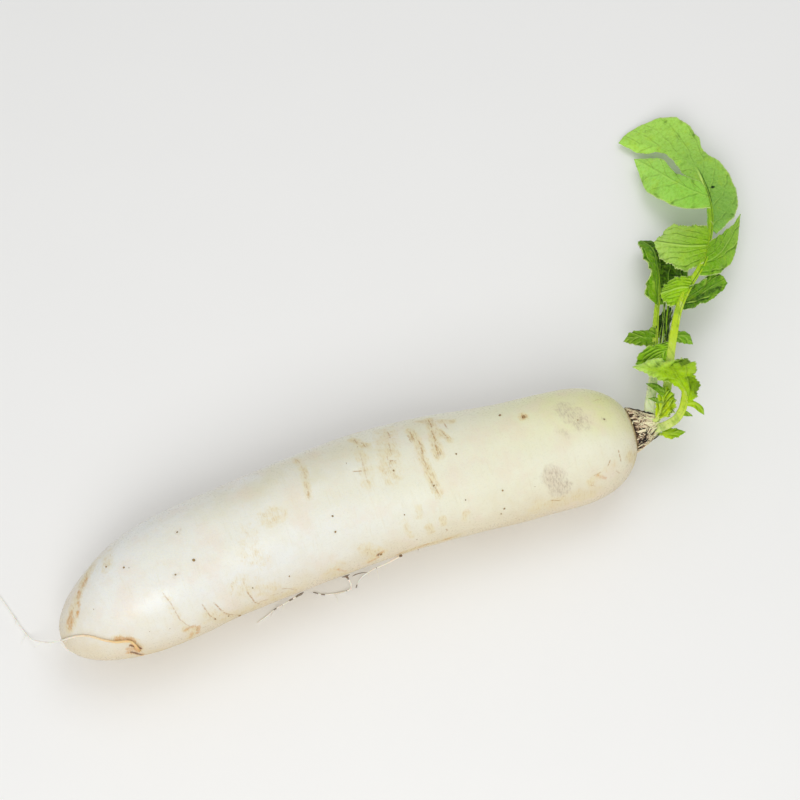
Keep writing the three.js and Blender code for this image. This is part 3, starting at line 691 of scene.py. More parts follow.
def radishSkin():
    finish, tree, shader = newFinish("radishSkin", {
        "Subsurface Weight": 0.3, "Subsurface Scale": 0.004, "Subsurface Radius": (0.9, 0.8, 0.6),
        "IOR": 1.42, "Specular IOR Level": 0.45,
    })
    # x runs along the root and z up, in metres; noise makes each limit ragged
    x, y, z = (coordinateOf(tree, axis) for axis in "XYZ")
    cloudy = clouded(tree, x, 30, 0.06, 3)
    shoulder = clouded(tree, x, 12, 0.02)
    high = clouded(tree, z, 14, 0.012)
    low = clouded(tree, z, 9, 0.02, 3)
    # towards the far side of the crown's shoulder; it bounds the green, and places painted shade on the
    # far upper side
    farSide = plus(tree, high, times(tree, y, 0.6), step(tree, x, 0.115, 0.165, 0.014))
    green = times(tree, step(tree, shoulder, 0.07, 0.17), step(tree, farSide, 0.048, 0.074), 0.75)
    rings = grain(tree, 1.4, 4, 0.6, (1, 9, 9), 0.3)
    patchy = step(tree, grain(tree, 4.5, 3, 0.65), 0.34, 0.62)
    broken = plus(tree, times(tree, patchy, 0.45), 0.55)
    ragged = flecks(tree, 1.9, 3.4, 4, 0.7)

    # a mark's share, with ragged edges and gaps
    def mark(name, start, full):
        value = painted(tree, name)
        torn = plus(tree, value, ragged)
        return times(tree, step(tree, torn, start, full), step(tree, value, 0.0, 0.2))

    haze = mark("haze", 0.0, 1.0)
    grey = mark("grey", 0.0, 1.1)
    fine = step(tree, grain(tree, 0.6, 4, 0.7, (1, 6, 6), 0.4), 0.46, 0.64)
    deep = step(tree, grain(tree, 0.8, 3, 0.6, (1, 4, 4), 0.8), 0.54, 0.66)
    scuff = step(tree, grain(tree, 0.9, 4, 0.7, (1, 2.6, 2.6)), 0.42, 0.66)
    # a scratch is a thin, wavering and broken line inside its mark
    offLine = calc(tree, "ABSOLUTE", plus(tree, painted(tree, "beside"), flecks(tree, 0.8, 3, 2)))
    thin = plus(tree, grain(tree, 2.6), 0.05)
    inMark = step(tree, painted(tree, "scratch"), 0.08, 0.8)
    pieces = step(tree, grain(tree, 1.5, 2, 0.6), 0.36, 0.52)
    scratch = times(tree, step(tree, offLine, thin, 0.04), inMark, pieces)
    slit = step(tree, plus(tree, painted(tree, "scar"), flecks(tree, 1, 1.0, 3, 0.6)), 0.3, 0.85)
    fromCrown = tree.nodes.new("ShaderNodeVectorMath")
    fromCrown.operation = "DISTANCE"
    fromCrown.inputs[1].default_value = [value * mm for value in root["crownCentre"]]
    place = tree.nodes.new("ShaderNodeTexCoord")
    tree.links.new(place.outputs["Object"], fromCrown.inputs[0])
    nearCrown = clouded(tree, fromCrown.outputs["Value"], 2, 0.004, 3)
    colour = coats(
        tree, skinTones, paint(*skinTones["tailHalf"]),
        (step(tree, cloudy, -0.02, 0.12), "crownHalf"),
        # painted shade: darker on the top and towards the far upper side
        (step(tree, high, 0.062, 0.08, 0.35), "top"),
        (step(tree, farSide, 0.072, 0.084, 0.45), "farShoulder"),
        (green, "green"),
        (step(tree, shoulder, 0.15, 0.175, 0.35), "crownEnd"),
        # painted shade: darker and warmer on the lower flank and underneath
        (step(tree, low, 0.07, 0.036, 0.8), "flank"),
        (step(tree, z, 0.042, 0.012, 0.6), "underside"),
        (step(tree, grain(tree, 40, 3), 0.45, 0.7, 0.3), "cream"),
        (step(tree, grain(tree, 17, 4, 0.6), 0.48, 0.7, 0.3), "rosy"),
        (step(tree, grain(tree, 5, 4, 0.65), 0.5, 0.7, 0.16), "mottle"),
        (step(tree, rings, 0.56, 0.74, 0.22), "growthRing"),
        (times(tree, haze, broken, 0.5), "haze"),
        (times(tree, haze, fine, 0.5), "hazeFleck"),
        (times(tree, mark("haze", 0.5, 1.2), deep, 0.6), "hazeSpeck"),
        (times(tree, mark("rust", 0.0, 0.9), plus(tree, times(tree, fine, 0.35), 0.45)), "rust"),
        (times(tree, grey, 0.4), "scuff"),
        (times(tree, grey, scuff, 0.5), "scuffFleck"),
        (times(tree, scratch, 0.72), "scratch"),
        (times(tree, slit, 0.85), "slit"),
        (step(tree, nearCrown, 0.0185, 0.015, 0.7), "crownRim"),
    )
    tree.links.new(colour, shader.inputs["Base Color"])
    sheen = times(tree, grain(tree, 1.1, 3, 0.6), 0.3)
    tree.links.new(plus(tree, sheen, times(tree, haze, 0.16), 0.15), shader.inputs["Roughness"])
    height = plus(tree, times(tree, rings, 0.5), grain(tree, 1.3, 4, 0.6))
    bumpFrom(tree, shader, calc(tree, "SUBTRACT", height, times(tree, scratch, 0.6)), 0.2, 0.65)
    return finish


# Dried spots: flat lenses that stand a little out of the skin, the given ones and small random ones.
def makeSpots():
    draw = random.Random(root["seed"] + 1)
    spots = list(skinSpots)
    for _ in range(root["smallSpots"]):
        x = draw.uniform(*root["smallSpotsAlong"])
        spots.append((x, draw.uniform(0, 360), draw.uniform(*root["smallSpotRadius"])))
    bm = bmesh.new()
    layer = bm.verts.layers.float.new("tone")
    for x, degrees, radius in spots:
        point, outward = onSkin(x, degrees)
        if point.z < 1:
            continue
        turn = outward.to_track_quat("Z", "Y").to_matrix().to_4x4()
        shape = Matrix.Diagonal((radius * draw.uniform(0.8, 1.5), radius, 0.3, 1))
        spin = Matrix.Rotation(draw.uniform(0, math.pi), 4, "Z")
        place = Matrix.Translation(point - outward * 0.12) @ turn @ spin @ shape
        lens = bmesh.ops.create_uvsphere(bm, u_segments=10, v_segments=6, radius=1, matrix=place)["verts"]
        shade = draw.uniform(0, 1)
        for vert in lens:
            vert[layer] = shade
    roughen(bm, 0.12, 0.4)
    return placed(bm, toMetres)


def spotSkin():
    finish, tree, shader = newFinish("driedSpot", {"Roughness": 0.7})
    tones = {"brown": (122, 100, 64), "tan": (164, 134, 88), "speck": (160, 134, 88)}
    colour = coats(
        tree, tones, paint(*tones["brown"]),
        (painted(tree, "tone"), "tan"),
        (step(tree, grain(tree, 0.5, 2), 0.4, 0.7, 0.5), "speck"),
    )
    tree.links.new(colour, shader.inputs["Base Color"])
    return finish


keepPiece("radishRoot", makeRoot(), radishSkin(), ["radish_root"])
keepPiece("skinSpots", makeSpots(), spotSkin(), ["radish_root"])
print("root is made")


# Rootlets: thin threads, as in part.mjs, with finer ends, short side hairs and dark dry pieces.
# dark lists shares of the route; bits are extra pieces, with a width and a tone of their own.
rootlets = {
    "tailThread": {
        "node": "tail_rootlet", "base": 1.6, "end": 0.5, "steps": 170, "hairs": 6, "gold": 1.0,
        "dark": [],
        "bits": [
            (0.5, 0, [(-160.1, -15.9, 26), (-159.3, -17.4, 24), (-157.7, -19.1, 20), (-155, -20.7, 16)]),
        ],
        "route": [(-123.9, -39.3, 33.8), (-125, -38.1, 38.9), (-126.7, -36.5, 41.9),
                  (-129.7, -35.4, 42.6), (-132.5, -34.6, 42.3), (-136.4, -32.8, 42.7),
                  (-139.7, -30.8, 43.3), (-143.4, -28, 43.6), (-146.7, -25.6, 43.1),
                  (-150.2, -23.6, 41.4), (-154.7, -21.2, 37.8), (-158, -19.2, 33.6),
                  (-159.9, -16.5, 28.5), (-163.8, -11.8, 19), (-168.1, -6, 10.5), (-171.6, -1.6, 5.5),
                  (-174.1, 1.9, 2.6), (-176, 6.4, 1.2), (-177.9, 13.1, 1), (-180.2, 22.3, 1),
                  (-182.9, 32.2, 1), (-186, 43.9, 0.9)],
    },
    "sideThreadHigh": {
        "node": "side_rootlet_1", "base": 1.2, "end": 0.45, "steps": 70, "hairs": 3, "gold": 0.3,
        "dark": [(0, 0.03), (0.95, 1)],
        "bits": [(0.35, 1, [(4.2, -29, 7), (0.5, -28.2, 7.5), (-2.2, -27.8, 7), (-4.4, -27.6, 6)])],
        "route": [(21.3, -34.5, 25.6), (18.5, -33.6, 22.3), (14.4, -32.5, 18), (9.4, -30.6, 12.5),
                  (5.3, -29, 7.5), (1.5, -28.4, 3.2), (-1.6, -29.6, 1.1), (-4.1, -32.5, 0.8)],
    },
    "sideThreadLow": {
        "node": "side_rootlet_2", "base": 1.2, "end": 0.45, "steps": 70, "hairs": 3, "gold": 0.1,
        "dark": [(0, 0.07), (0.83, 0.87), (0.93, 1)],
        "bits": [(0.9, 1, [(-11.6, -32, 19.2), (-9.4, -32.2, 19.1), (-7.1, -32, 19.4)])],
        "route": [(-9.2, -32.4, 19.3), (-8.2, -33, 16), (-7.2, -33.5, 10), (-7.5, -33.3, 4),
                  (-10.4, -32.5, 1.2), (-16.2, -31.3, 0.8), (-21.9, -29.7, 0.8), (-26.4, -26.4, 0.8)],
    },
    "sideThreadTailward": {
        "node": "side_rootlet_3", "base": 1.2, "end": 0.45, "steps": 70, "hairs": 3, "gold": 0.1,
        "dark": [(0, 0.1), (0.2, 0.3), (0.62, 0.67)],
        "bits": [(0.9, 1, [(-37, -32.8, 19), (-35.2, -33.3, 19.4), (-33.4, -33.7, 21.7)])],
        "route": [(-34.8, -33.2, 19.2), (-37.5, -32.5, 16.5), (-40.3, -31, 11.5), (-44, -29.5, 6),
                  (-48.8, -28.8, 1.9), (-54.8, -30.6, 0.8), (-60.2, -32.3, 0.8)],
    },
}
hairs = {
    "length": (3, 7),
    "heading": [(-1, 0.3), (-1, 0.2), (-0.5, 0.3)],
    "bend": [(-1, 1), (-1, 1), (0, 0.6)],
}


def rootletBody(shape, draw):
    bm = bmesh.new()
    along = bm.verts.layers.float.new("along")
    dark = bm.verts.layers.float.new("dark")

    def sizeAt(share):
        radius = (shape["base"] + (shape["end"] - shape["base"]) * math.sqrt(share)) / 2
        for low, high in shape["dark"]:
            radius *= 1.1 if low <= share <= high else 1
        return radius, radius

    addTube(bm, shape["route"], shape["steps"], 10, sizeAt, layer=along)
    for vert in bm.verts:
        inside = [low - 0.004 <= vert[along] <= high + 0.004 for low, high in shape["dark"]]
        vert[dark] = 1 if any(inside) else 0
    for width, tone, route in shape["bits"]:
        addTube(bm, route, 16, 8, lambda share: [0.1 + width * 0.45 * math.sin(math.pi * share)] * 2,
                layer=along, tone=0.5)
        for vert in bm.verts:
            if vert[along] == 0.5:
                vert[along] = 0.9
                vert[dark] = tone
    roughen(bm, 0.14, 1.6, shape["base"])
    line = samplesAlong(shape["route"], 40)
    for k in range(shape["hairs"]):
        start = line[12 + int(k * 24 / shape["hairs"])]
        heading = Vector([draw.uniform(*span) for span in hairs["heading"]]).normalized()
        end = start + heading * draw.uniform(*hairs["length"])
        end.z = max(end.z, 0.5)
        bend = start.lerp(end, 0.5) + Vector([draw.uniform(*span) for span in hairs["bend"]])
        addTube(bm, [start, bend, end], 10, 5, lambda share: (0.16 - 0.08 * share, 0.16 - 0.08 * share),
                layer=along, tone=0.95)
    return placed(bm, toMetres)


threadTones = {
    "end": (246, 244, 234),
    "gold": (230, 198, 140),
    "base": (206, 152, 92),
    "blotch": (196, 164, 112),
    "dry": (92, 70, 46),
}


def rootletSkin(name, gold):
    finish, tree, shader = newFinish(
        name, {"Roughness": 0.7, "Subsurface Weight": 0.2, "Subsurface Scale": 0.0006}
    )
    along = painted(tree, "along")
    dry = step(tree, clouded(tree, painted(tree, "dark"), 0.8, 0.4), 0.5, 0.9)
    colour = coats(
        tree, threadTones, paint(*threadTones["end"]),
        (step(tree, along, 0.5, 0.05, gold), "gold"),
        (step(tree, along, 0.06, 0.0, 0.7), "base"),
        (step(tree, grain(tree, 4, 3, 0.6), 0.5, 0.66, 0.25), "blotch"),
        (times(tree, dry, 0.85), "dry"),
    )
    tree.links.new(colour, shader.inputs["Base Color"])
    bumpFrom(tree, shader, grain(tree, 0.6, 3), 0.1, 0.6)
    return finish


def makeRootlets():
    draw = random.Random(5)
    for name, shape in rootlets.items():
        finish = rootletSkin(name + "Skin", shape["gold"])
        keepPiece(name, rootletBody(shape, draw), finish, [shape["node"]])


makeRootlets()
print("rootlets are made")


# Leaves and crown share a frame of their own, turned from the root's.
leafFrame = {"turn": -21.5, "crownTurn": 17, "crownAxisHeight": 32.5}
leafPlace = (
    toMetres
    @ Matrix.Translation((root["crownEnd"], alongPairs(root["bow"], root["crownEnd"]), 0))
    @ Matrix.Rotation(math.radians(leafFrame["turn"]), 4, "Z")
)

# Crown: a dark collar of old leaf bases, under flakes and torn fibres that lie along its cone.
crown = {
    "collar": [(0, 11), (0.35, 10.6), (0.55, 8.2), (0.8, 5.4), (1, 3)],
    "length": 15.5,
    "buried": 6,
    # depth and radius of the flakes' cone
    "cone": [(-4, 13), (0, 11.8), (5, 8.9), (9.5, 6.2), (13, 4.2), (16, 3.4)],
    "flakes": 240,
    "flakeReach": (4.5, 9),
    "flakeWidth": (0.25, 0.75),
    "fibres": 190,
    "fibreReach": (3, 8),
    "fibreThickness": (0.14, 0.34),
    "blackEvery": 5,  # each fifth fibre is black, thicker and stands out more
    "seed": 3,
}


def crownAxes():
    turn = math.radians(leafFrame["crownTurn"])
    forward = Vector((math.cos(turn), math.sin(turn), 0))
    sideways = Vector((-forward.y, forward.x, 0))
    start = Vector((0, 0, leafFrame["crownAxisHeight"]))
    return start, forward, sideways


# A point at a depth along the crown, an angle round it and a height over its cone.
def crownPoint(depth, turn, height):
    start, forward, sideways = crownAxes()
    outward = sideways * math.cos(turn) + Vector((0, 0, math.sin(turn)))
    return start + forward * depth + outward * (alongPairs(crown["cone"], depth) + height)


def makeCollar():
    bm = bmesh.new()
    start, forward, _ = crownAxes()
    start = start - forward * crown["buried"]
    layer = bm.verts.layers.float.new("tone")

    def sizeAt(share):
        return [alongPairs(crown["collar"], share)] * 2

    addTube(bm, [start, start + forward * crown["length"]], 46, 90, sizeAt, layer=layer, tone=0.1)
    bm.normal_update()
    for vert in bm.verts:
        spot = vert.co - start
        streak = noise.noise(Vector((spot.dot(forward) / 6, spot.y / 1.3, spot.z / 1.3)))
        vert.co += vert.normal * (0.9 * streak - 0.3)
        vert[layer] = min(max(0.1 + 0.4 * streak, 0), 1)
    return placed(bm, leafPlace)


def makeFlakes():
    draw = random.Random(crown["seed"])
    bm = bmesh.new()
    layer = bm.verts.layers.float.new("tone")
    for k in range(crown["flakes"]):
        angle = k * 0.618034 * 2 * math.pi  # spread by the golden ratio
        low = -3.4 + 10 * draw.random() ** 1.2
        reach = draw.uniform(*crown["flakeReach"])
        drift = draw.uniform(-0.3, 0.3)
        lift = draw.uniform(-0.2, 0.9)
        route = []
        for t in (0, 0.25, 0.5, 0.75, 1):
            height = lift * t * t - 0.3 + 0.3 * math.sin(k + 5 * t)
            route.append(crownPoint(low + reach * t, angle + drift * t * t, height))
        wide = draw.uniform(*crown["flakeWidth"])

        def sizeAt(share):
            return wide * min(0.4 + 3 * share, 1) * (1 - share**3) + 0.06, 0.26 * (1 - 0.6 * share) + 0.05

        outward = crownPoint(low, angle, 1) - crownPoint(low, angle, 0)
        tone = 0.12 + 0.76 * draw.random() + 0.3 * smoothStep(0, 5, low) + 0.6 * smoothStep(4, 6.2, low)
        addTube(bm, route, 12, 8, sizeAt, layer=layer, tone=tone, up=outward)
    roughen(bm, 0.3, 0.9)
    return placed(bm, leafPlace)


def makeFibres():
    draw = random.Random(crown["seed"] + 1)
    bm = bmesh.new()
    layer = bm.verts.layers.float.new("tone")
    for k in range(crown["fibres"]):
        angle = draw.uniform(0, 2 * math.pi)
        drift = draw.uniform(-0.5, 0.5)
        low = draw.uniform(-3.6, 7)
        reach = draw.uniform(*crown["fibreReach"])
        black = k % crown["blackEvery"] == 0
        stand = draw.uniform(0, 1.7 if black else 0.9)
        route = []
        for t in (0, 0.33, 0.67, 1):
            turn = angle + drift * t + 0.1 * math.sin(5 * t + k)
            route.append(crownPoint(low + reach * t, turn, stand * (0.3 + t) + 0.3 * math.sin(3 * t + k)))
        thick = draw.uniform(*crown["fibreThickness"]) + (0.1 if black else 0)
        addTube(bm, route, 10, 6, lambda share: (thick * (1 - 0.6 * share), thick * (0.8 - 0.5 * share)),
                layer=layer, tone=-0.3 if black else draw.uniform(0.35, 1.3))
    return placed(bm, leafPlace)


# Colours of the crown's finishes, by a piece's tone
crownTones = {
    "crownBark": [(0.0, (44, 31, 22)), (0.35, (138, 110, 84)), (1.0, (206, 176, 140))],
    "dryFlake": [(0.0, (20, 12, 8)), (0.14, (66, 44, 32)), (0.26, (196, 164, 134)),
                 (0.5, (238, 220, 186)), (0.9, (252, 246, 208)), (1.0, (244, 248, 200))],
    "tornFibre": [(0.0, (26, 17, 12)), (0.4, (140, 110, 82)), (0.9, (246, 236, 196)),
                  (1.0, (250, 244, 204))],
}


def dryFibre(name, stops):
    finish, tree, shader = newFinish(name, {"Roughness": 0.85})
    tone = plus(tree, painted(tree, "tone"), flecks(tree, 1.3, 0.6, 3, 0.6, (4, 1, 1)))
    tree.links.new(rampOver(tree, tone, stops), shader.inputs["Base Color"])
    bumpFrom(tree, shader, grain(tree, 0.5, 3, 0.6, (3, 1, 1)), 0.15, 0.7)
    return finish


def makeCrown():
    for name, bm, finish in (
        ("crownCollar", makeCollar(), "crownBark"),
        ("crownFlakes", makeFlakes(), "dryFlake"),
        ("crownFibres", makeFibres(), "tornFibre"),
    ):
        keepPiece(name, bm, dryFibre(finish, crownTones[finish]), ["crown"])


makeCrown()
print("crown is made")


# Leaves, as in part.mjs. A blade's mid, left and right curves run base to tip. teethRows, teeth, wave
# and waves are the solid's. The rest is finer: jag is the small teeth's share of the large ones, near
# and tip are the colours at the two ends, dark is painted shade on the left and the right half, rib
# has a strength and the shares of the blade between which the midrib fades, ruffle a height and a
# count at the margin.
# fine is the count of rows and columns, veins and slope the side veins' count and slant, pucker and
# crumple the swelling between veins and the loose folds, bulge how far the halves arch, ink how strong
# the veins' colours are, tipFrom where the tip's colour begins, and pit the place of a dark hollow.
plainBlade = {
    "teeth": 0, "jag": 0.6, "wave": 0, "waves": 3, "bulge": 0.6, "crumple": 0.3,
    "rib": (0.15, 0, 1), "dark": (0, 0), "tipFrom": 0,
}
largeLeaf = {
    "node": "leaf_large", "piece": "leafLarge", "slot": "leaf_green",
    "stalk": {
        "wide": 2.5, "high": 1.9, "fine": 0.45, "taper": 1.5, "sinks": 0.82, "steps": 170, "bristles": 120,
        "route": [(8, 5, 28), (11.5, 7, 28.7), (17, 17, 32.5), (20, 29, 36), (22, 44, 38), (25, 59, 38),
                  (29, 75, 38), (36, 91, 36), (45, 107, 35), (50, 124, 33), (53, 146, 30), (51, 170, 25),
                  (47, 185, 22), (39, 196, 18), (27, 206, 12), (16, 211, 8)],
        "seam": 0.95,
        "colours": [(0, (216, 230, 146)), (0.25, (192, 220, 36)), (0.4, (172, 210, 20)),
                    (0.6, (146, 190, 8)), (0.85, (156, 208, 60)), (1, (166, 218, 84))],
    },
    "blades": [
        {
            "fine": (150, 40), "teethRows": 26, "teeth": 0.6, "jag": 0.8, "wave": 1.6, "veins": 8,
            "slope": 0.6, "pucker": 0.3, "crumple": 0.2, "ruffle": (0.2, 14), "rib": (1.0, 0.37, 0.5),
            "ink": 0.3, "dark": (0.05, 0.05), "near": (120, 174, 72), "tip": (186, 236, 104),
            "pit": (56.5, 166.5),
            "mid": [(51, 133, 31.5), (53, 155, 28), (51, 170, 25), (47, 185, 22), (39, 196, 18),
                    (27, 206, 12), (16, 211, 8), (6, 215, 4)],
            "left": [(50, 134, 31.5), (51.5, 155, 28), (49, 169, 25), (43, 178, 21), (37, 192, 16),
                     (30, 203, 11), (18, 207, 6), (6, 215, 4)],
            "right": [(55, 130, 30.5), (67, 145, 26.5), (70.5, 163, 24), (65, 183, 21), (54, 197, 20),
                      (52, 210, 18), (43, 224, 14), (31, 229, 9), (13, 223.5, 5), (6, 215, 4)],
        },
        {
            "fine": (90, 36), "teethRows": 14, "teeth": 0.4, "jag": 0.4, "wave": 1, "waves": 2,
            "veins": 4, "slope": 0.5, "pucker": 0.2, "crumple": 0.2, "ruffle": (0.25, 5),
            "rib": (0.25, 0, 1), "ink": 0.35, "near": (150, 212, 78), "tip": (180, 232, 110),
            "mid": [(53, 157, 28), (43, 164, 26), (33, 175, 21), (25, 186, 15), (14, 199, 9)],
            "left": [(53, 148, 29.5), (42, 152, 25), (30.5, 160.5, 18), (20.5, 172.5, 12), (17, 187, 9),
                     (14, 199, 9)],
            "right": [(51, 168, 26), (43, 175, 23), (35, 185, 17.5), (28, 197, 12.5), (14, 199, 9)],
        },
        {
            "fine": (72, 36), "teethRows": 12, "teeth": 1.2, "jag": 1.3, "wave": 1.2, "waves": 2,
            "veins": 1.5, "slope": 2.4, "pucker": 0.5, "ruffle": (0.4, 6), "rib": (0.5, 0, 1),
            "ink": 0.5, "near": (134, 186, 8), "tip": (190, 226, 116),
            "mid": [(48.5, 119, 34), (39, 119, 33.5), (29, 122, 31), (19.5, 127, 26)],
            "left": [(45, 106, 35), (34, 106, 30), (24, 115, 27), (19.5, 127, 26)],
            "right": [(51, 132, 32), (41, 135, 31), (31.5, 137.5, 27), (19.5, 127, 26)],
        },
        {
            "fine": (80, 30), "teethRows": 12, "teeth": 0.6, "wave": 1, "waves": 2, "veins": 1.5,
            "slope": 2.2, "pucker": 0.5, "ruffle": (0.4, 5), "rib": (0.3, 0, 1), "ink": 0.62,
            "dark": (0.1, 0.02), "near": (114, 172, 14), "tip": (160, 206, 78),
            "mid": [(45, 106, 35), (53, 112, 34), (62, 127, 28), (72, 151, 20)],
            "left": [(50, 122, 33), (54, 126, 32), (65, 138, 26), (72, 151, 20)],
            "right": [(40, 98, 35.5), (51, 101, 31), (64, 117, 25), (72, 151, 20)],
        },
        {
            "fine": (60, 32), "teethRows": 12, "teeth": 1, "jag": 1.3, "wave": 0.6, "veins": 1.5,
            "slope": 2.6, "pucker": 0.5, "ruffle": (0.4, 6), "rib": (0.5, 0, 1), "ink": 0.5,
            "near": (160, 210, 2), "tip": (150, 204, 34),
            "mid": [(36, 89, 36.3), (30, 88, 37.5), (25, 87, 36), (20, 87, 33)],
            "left": [(32, 80, 37.5), (27, 78, 35), (22, 82, 33), (20, 87, 33)],
            "right": [(38, 96, 35.8), (31, 96, 36), (24, 94, 33), (20, 87, 33)],
        },
        {
            "fine": (64, 28), "teethRows": 10, "teeth": 0.6, "jag": 1.0, "wave": 0.8, "bulge": -0.8,
            "veins": 1.2, "slope": 2.4, "pucker": 0.9, "crumple": 0.5, "ruffle": (0.6, 6),
            "rib": (0, 0, 1), "ink": 0.8, "dark": (0.05, 0.5), "near": (70, 124, 4),
            "tip": (120, 176, 34),
            "mid": [(31, 78, 37.5), (41, 86, 33), (50, 94, 29), (60, 101, 23)],
            "left": [(36, 90, 36.5), (44, 96, 33), (54, 106, 27), (60, 101, 23)],
            "right": [(29, 73, 38), (37, 78.5, 32.5), (53, 92, 24), (60, 101, 23)],
        },
        {
            "fine": (40, 18), "teethRows": 8, "teeth": 0.5, "jag": 0.8, "veins": 2, "slope": 0.9,
            "pucker": 0.4, "crumple": 0.4, "ruffle": (0.4, 3), "ink": 0.6, "dark": (0.1, 0.2),
            "near": (104, 156, 16), "tip": (130, 182, 38),
            "mid": [(24.5, 56, 38), (30, 56.5, 37), (35.5, 54, 33)],
            "left": [(25, 59, 38), (32.5, 60, 35), (35.5, 54, 33)],
            "right": [(24, 53, 38), (31, 54, 34), (35.5, 54, 33)],
        },
        {
            "fine": (56, 36), "teethRows": 10, "teeth": 0.8, "jag": 1.0, "wave": 0.8, "veins": 5,
            "slope": 0.8, "pucker": 0.5, "crumple": 0.5, "ruffle": (0.6, 6), "rib": (0.1, 0, 1),
            "ink": 0.7, "dark": (0.05, 0.2), "near": (150, 206, 4), "tip": (118, 176, 4),
            "mid": [(22, 48, 38), (17, 44, 38), (13, 37, 35)],
            "left": [(21, 40, 37.5), (26, 36, 35.5), (21, 34, 34), (13, 37, 35)],
            "right": [(23, 52, 38), (12, 50, 37), (4, 44, 33), (5, 38, 33), (13, 37, 35)],
        },
    ],
}

foldedLeaf = {
    "node": "leaf_folded", "piece": "leafFolded", "slot": "leaf_dark",
    "stalk": {
        "wide": 3.1, "high": 2.2, "fine": 0.5, "taper": 0.9, "sinks": 0.9, "steps": 120, "bristles": 130,
        "route": [(4.5, 6.2, 32.7), (8, 7.6, 33.2), (9.2, 15, 34.2), (11.5, 27, 33.5), (14, 45, 31.5),
                  (16, 65, 28), (18, 80, 25.5), (20, 92, 23), (21, 105, 20.5), (21, 118, 17.5),
                  (20, 130, 14.5), (17, 136, 12)],
        "seam": 0.6,
        "colours": [(0, (234, 242, 204)), (0.2, (232, 242, 186)), (0.34, (196, 224, 66)),
                    (0.6, (182, 214, 36)), (0.8, (150, 196, 30)), (1, (122, 174, 30))],
    },
    "blades": [
        {
            "fine": (110, 50), "teethRows": 18, "teeth": 0.7, "jag": 0.8, "wave": 1.4, "veins": 1.6,
            "slope": 2.2, "pucker": 0.9, "crumple": 0.5, "ruffle": (0.5, 6), "rib": (0.4, 0, 1),
            "ink": 0.6, "dark": (0.6, 0.05), "near": (124, 178, 2), "tip": (94, 152, 2),
            "mid": [(19, 85, 24.5), (20, 92, 23), (21, 105, 20.5), (21, 118, 17.5), (20, 130, 14.5),
                    (14, 139, 10)],
            "left": [(18, 84, 25), (32, 95, 19), (39, 108, 14), (37, 124, 11), (28, 137, 9.5),
                     (14, 139, 10)],
            "right": [(18, 86, 25), (12, 88, 29), (13, 96, 28.5), (16, 107, 26), (13, 122, 22),
                      (12, 134, 15), (14, 139, 10)],
        },
        {
            "fine": (60, 30), "teethRows": 12, "teeth": 0.7, "jag": 0.8, "wave": 0.8, "veins": 3,
            "slope": 0.8, "pucker": 0.6, "crumple": 0.5, "ruffle": (0.5, 4), "ink": 0.6,
            "dark": (0.1, 0.08), "near": (98, 150, 2), "tip": (116, 160, 4),
            "mid": [(15.5, 59, 29), (9, 60.5, 29), (4, 62.5, 25.5), (-1, 63, 21)],
            "left": [(14.3, 52, 30), (10, 56, 28), (5, 58, 26), (-1, 63, 21)],
            "right": [(16, 67, 28), (9, 65.5, 28), (3, 66.5, 24), (-1, 63, 21)],
        },
        {
            # this leaflet's very dark tones are painted shade, between the stalks
            "fine": (60, 20), "teethRows": 10, "teeth": 0.6, "wave": 0.6, "veins": 2, "slope": 0.8,
            "pucker": 0.5, "ruffle": (0.4, 3), "rib": (0, 0, 1), "ink": 0.2, "dark": (0.9, 0.7),
            "near": (40, 90, 6), "tip": (20, 60, 4),
            "mid": [(15.8, 62, 28.5), (21, 73, 25), (27, 86, 21)],
            "left": [(15.5, 59, 29), (25, 73, 23), (27, 86, 21)],
            "right": [(16.5, 68, 27.5), (20, 79, 23), (27, 86, 21)],
        },
    ],
}

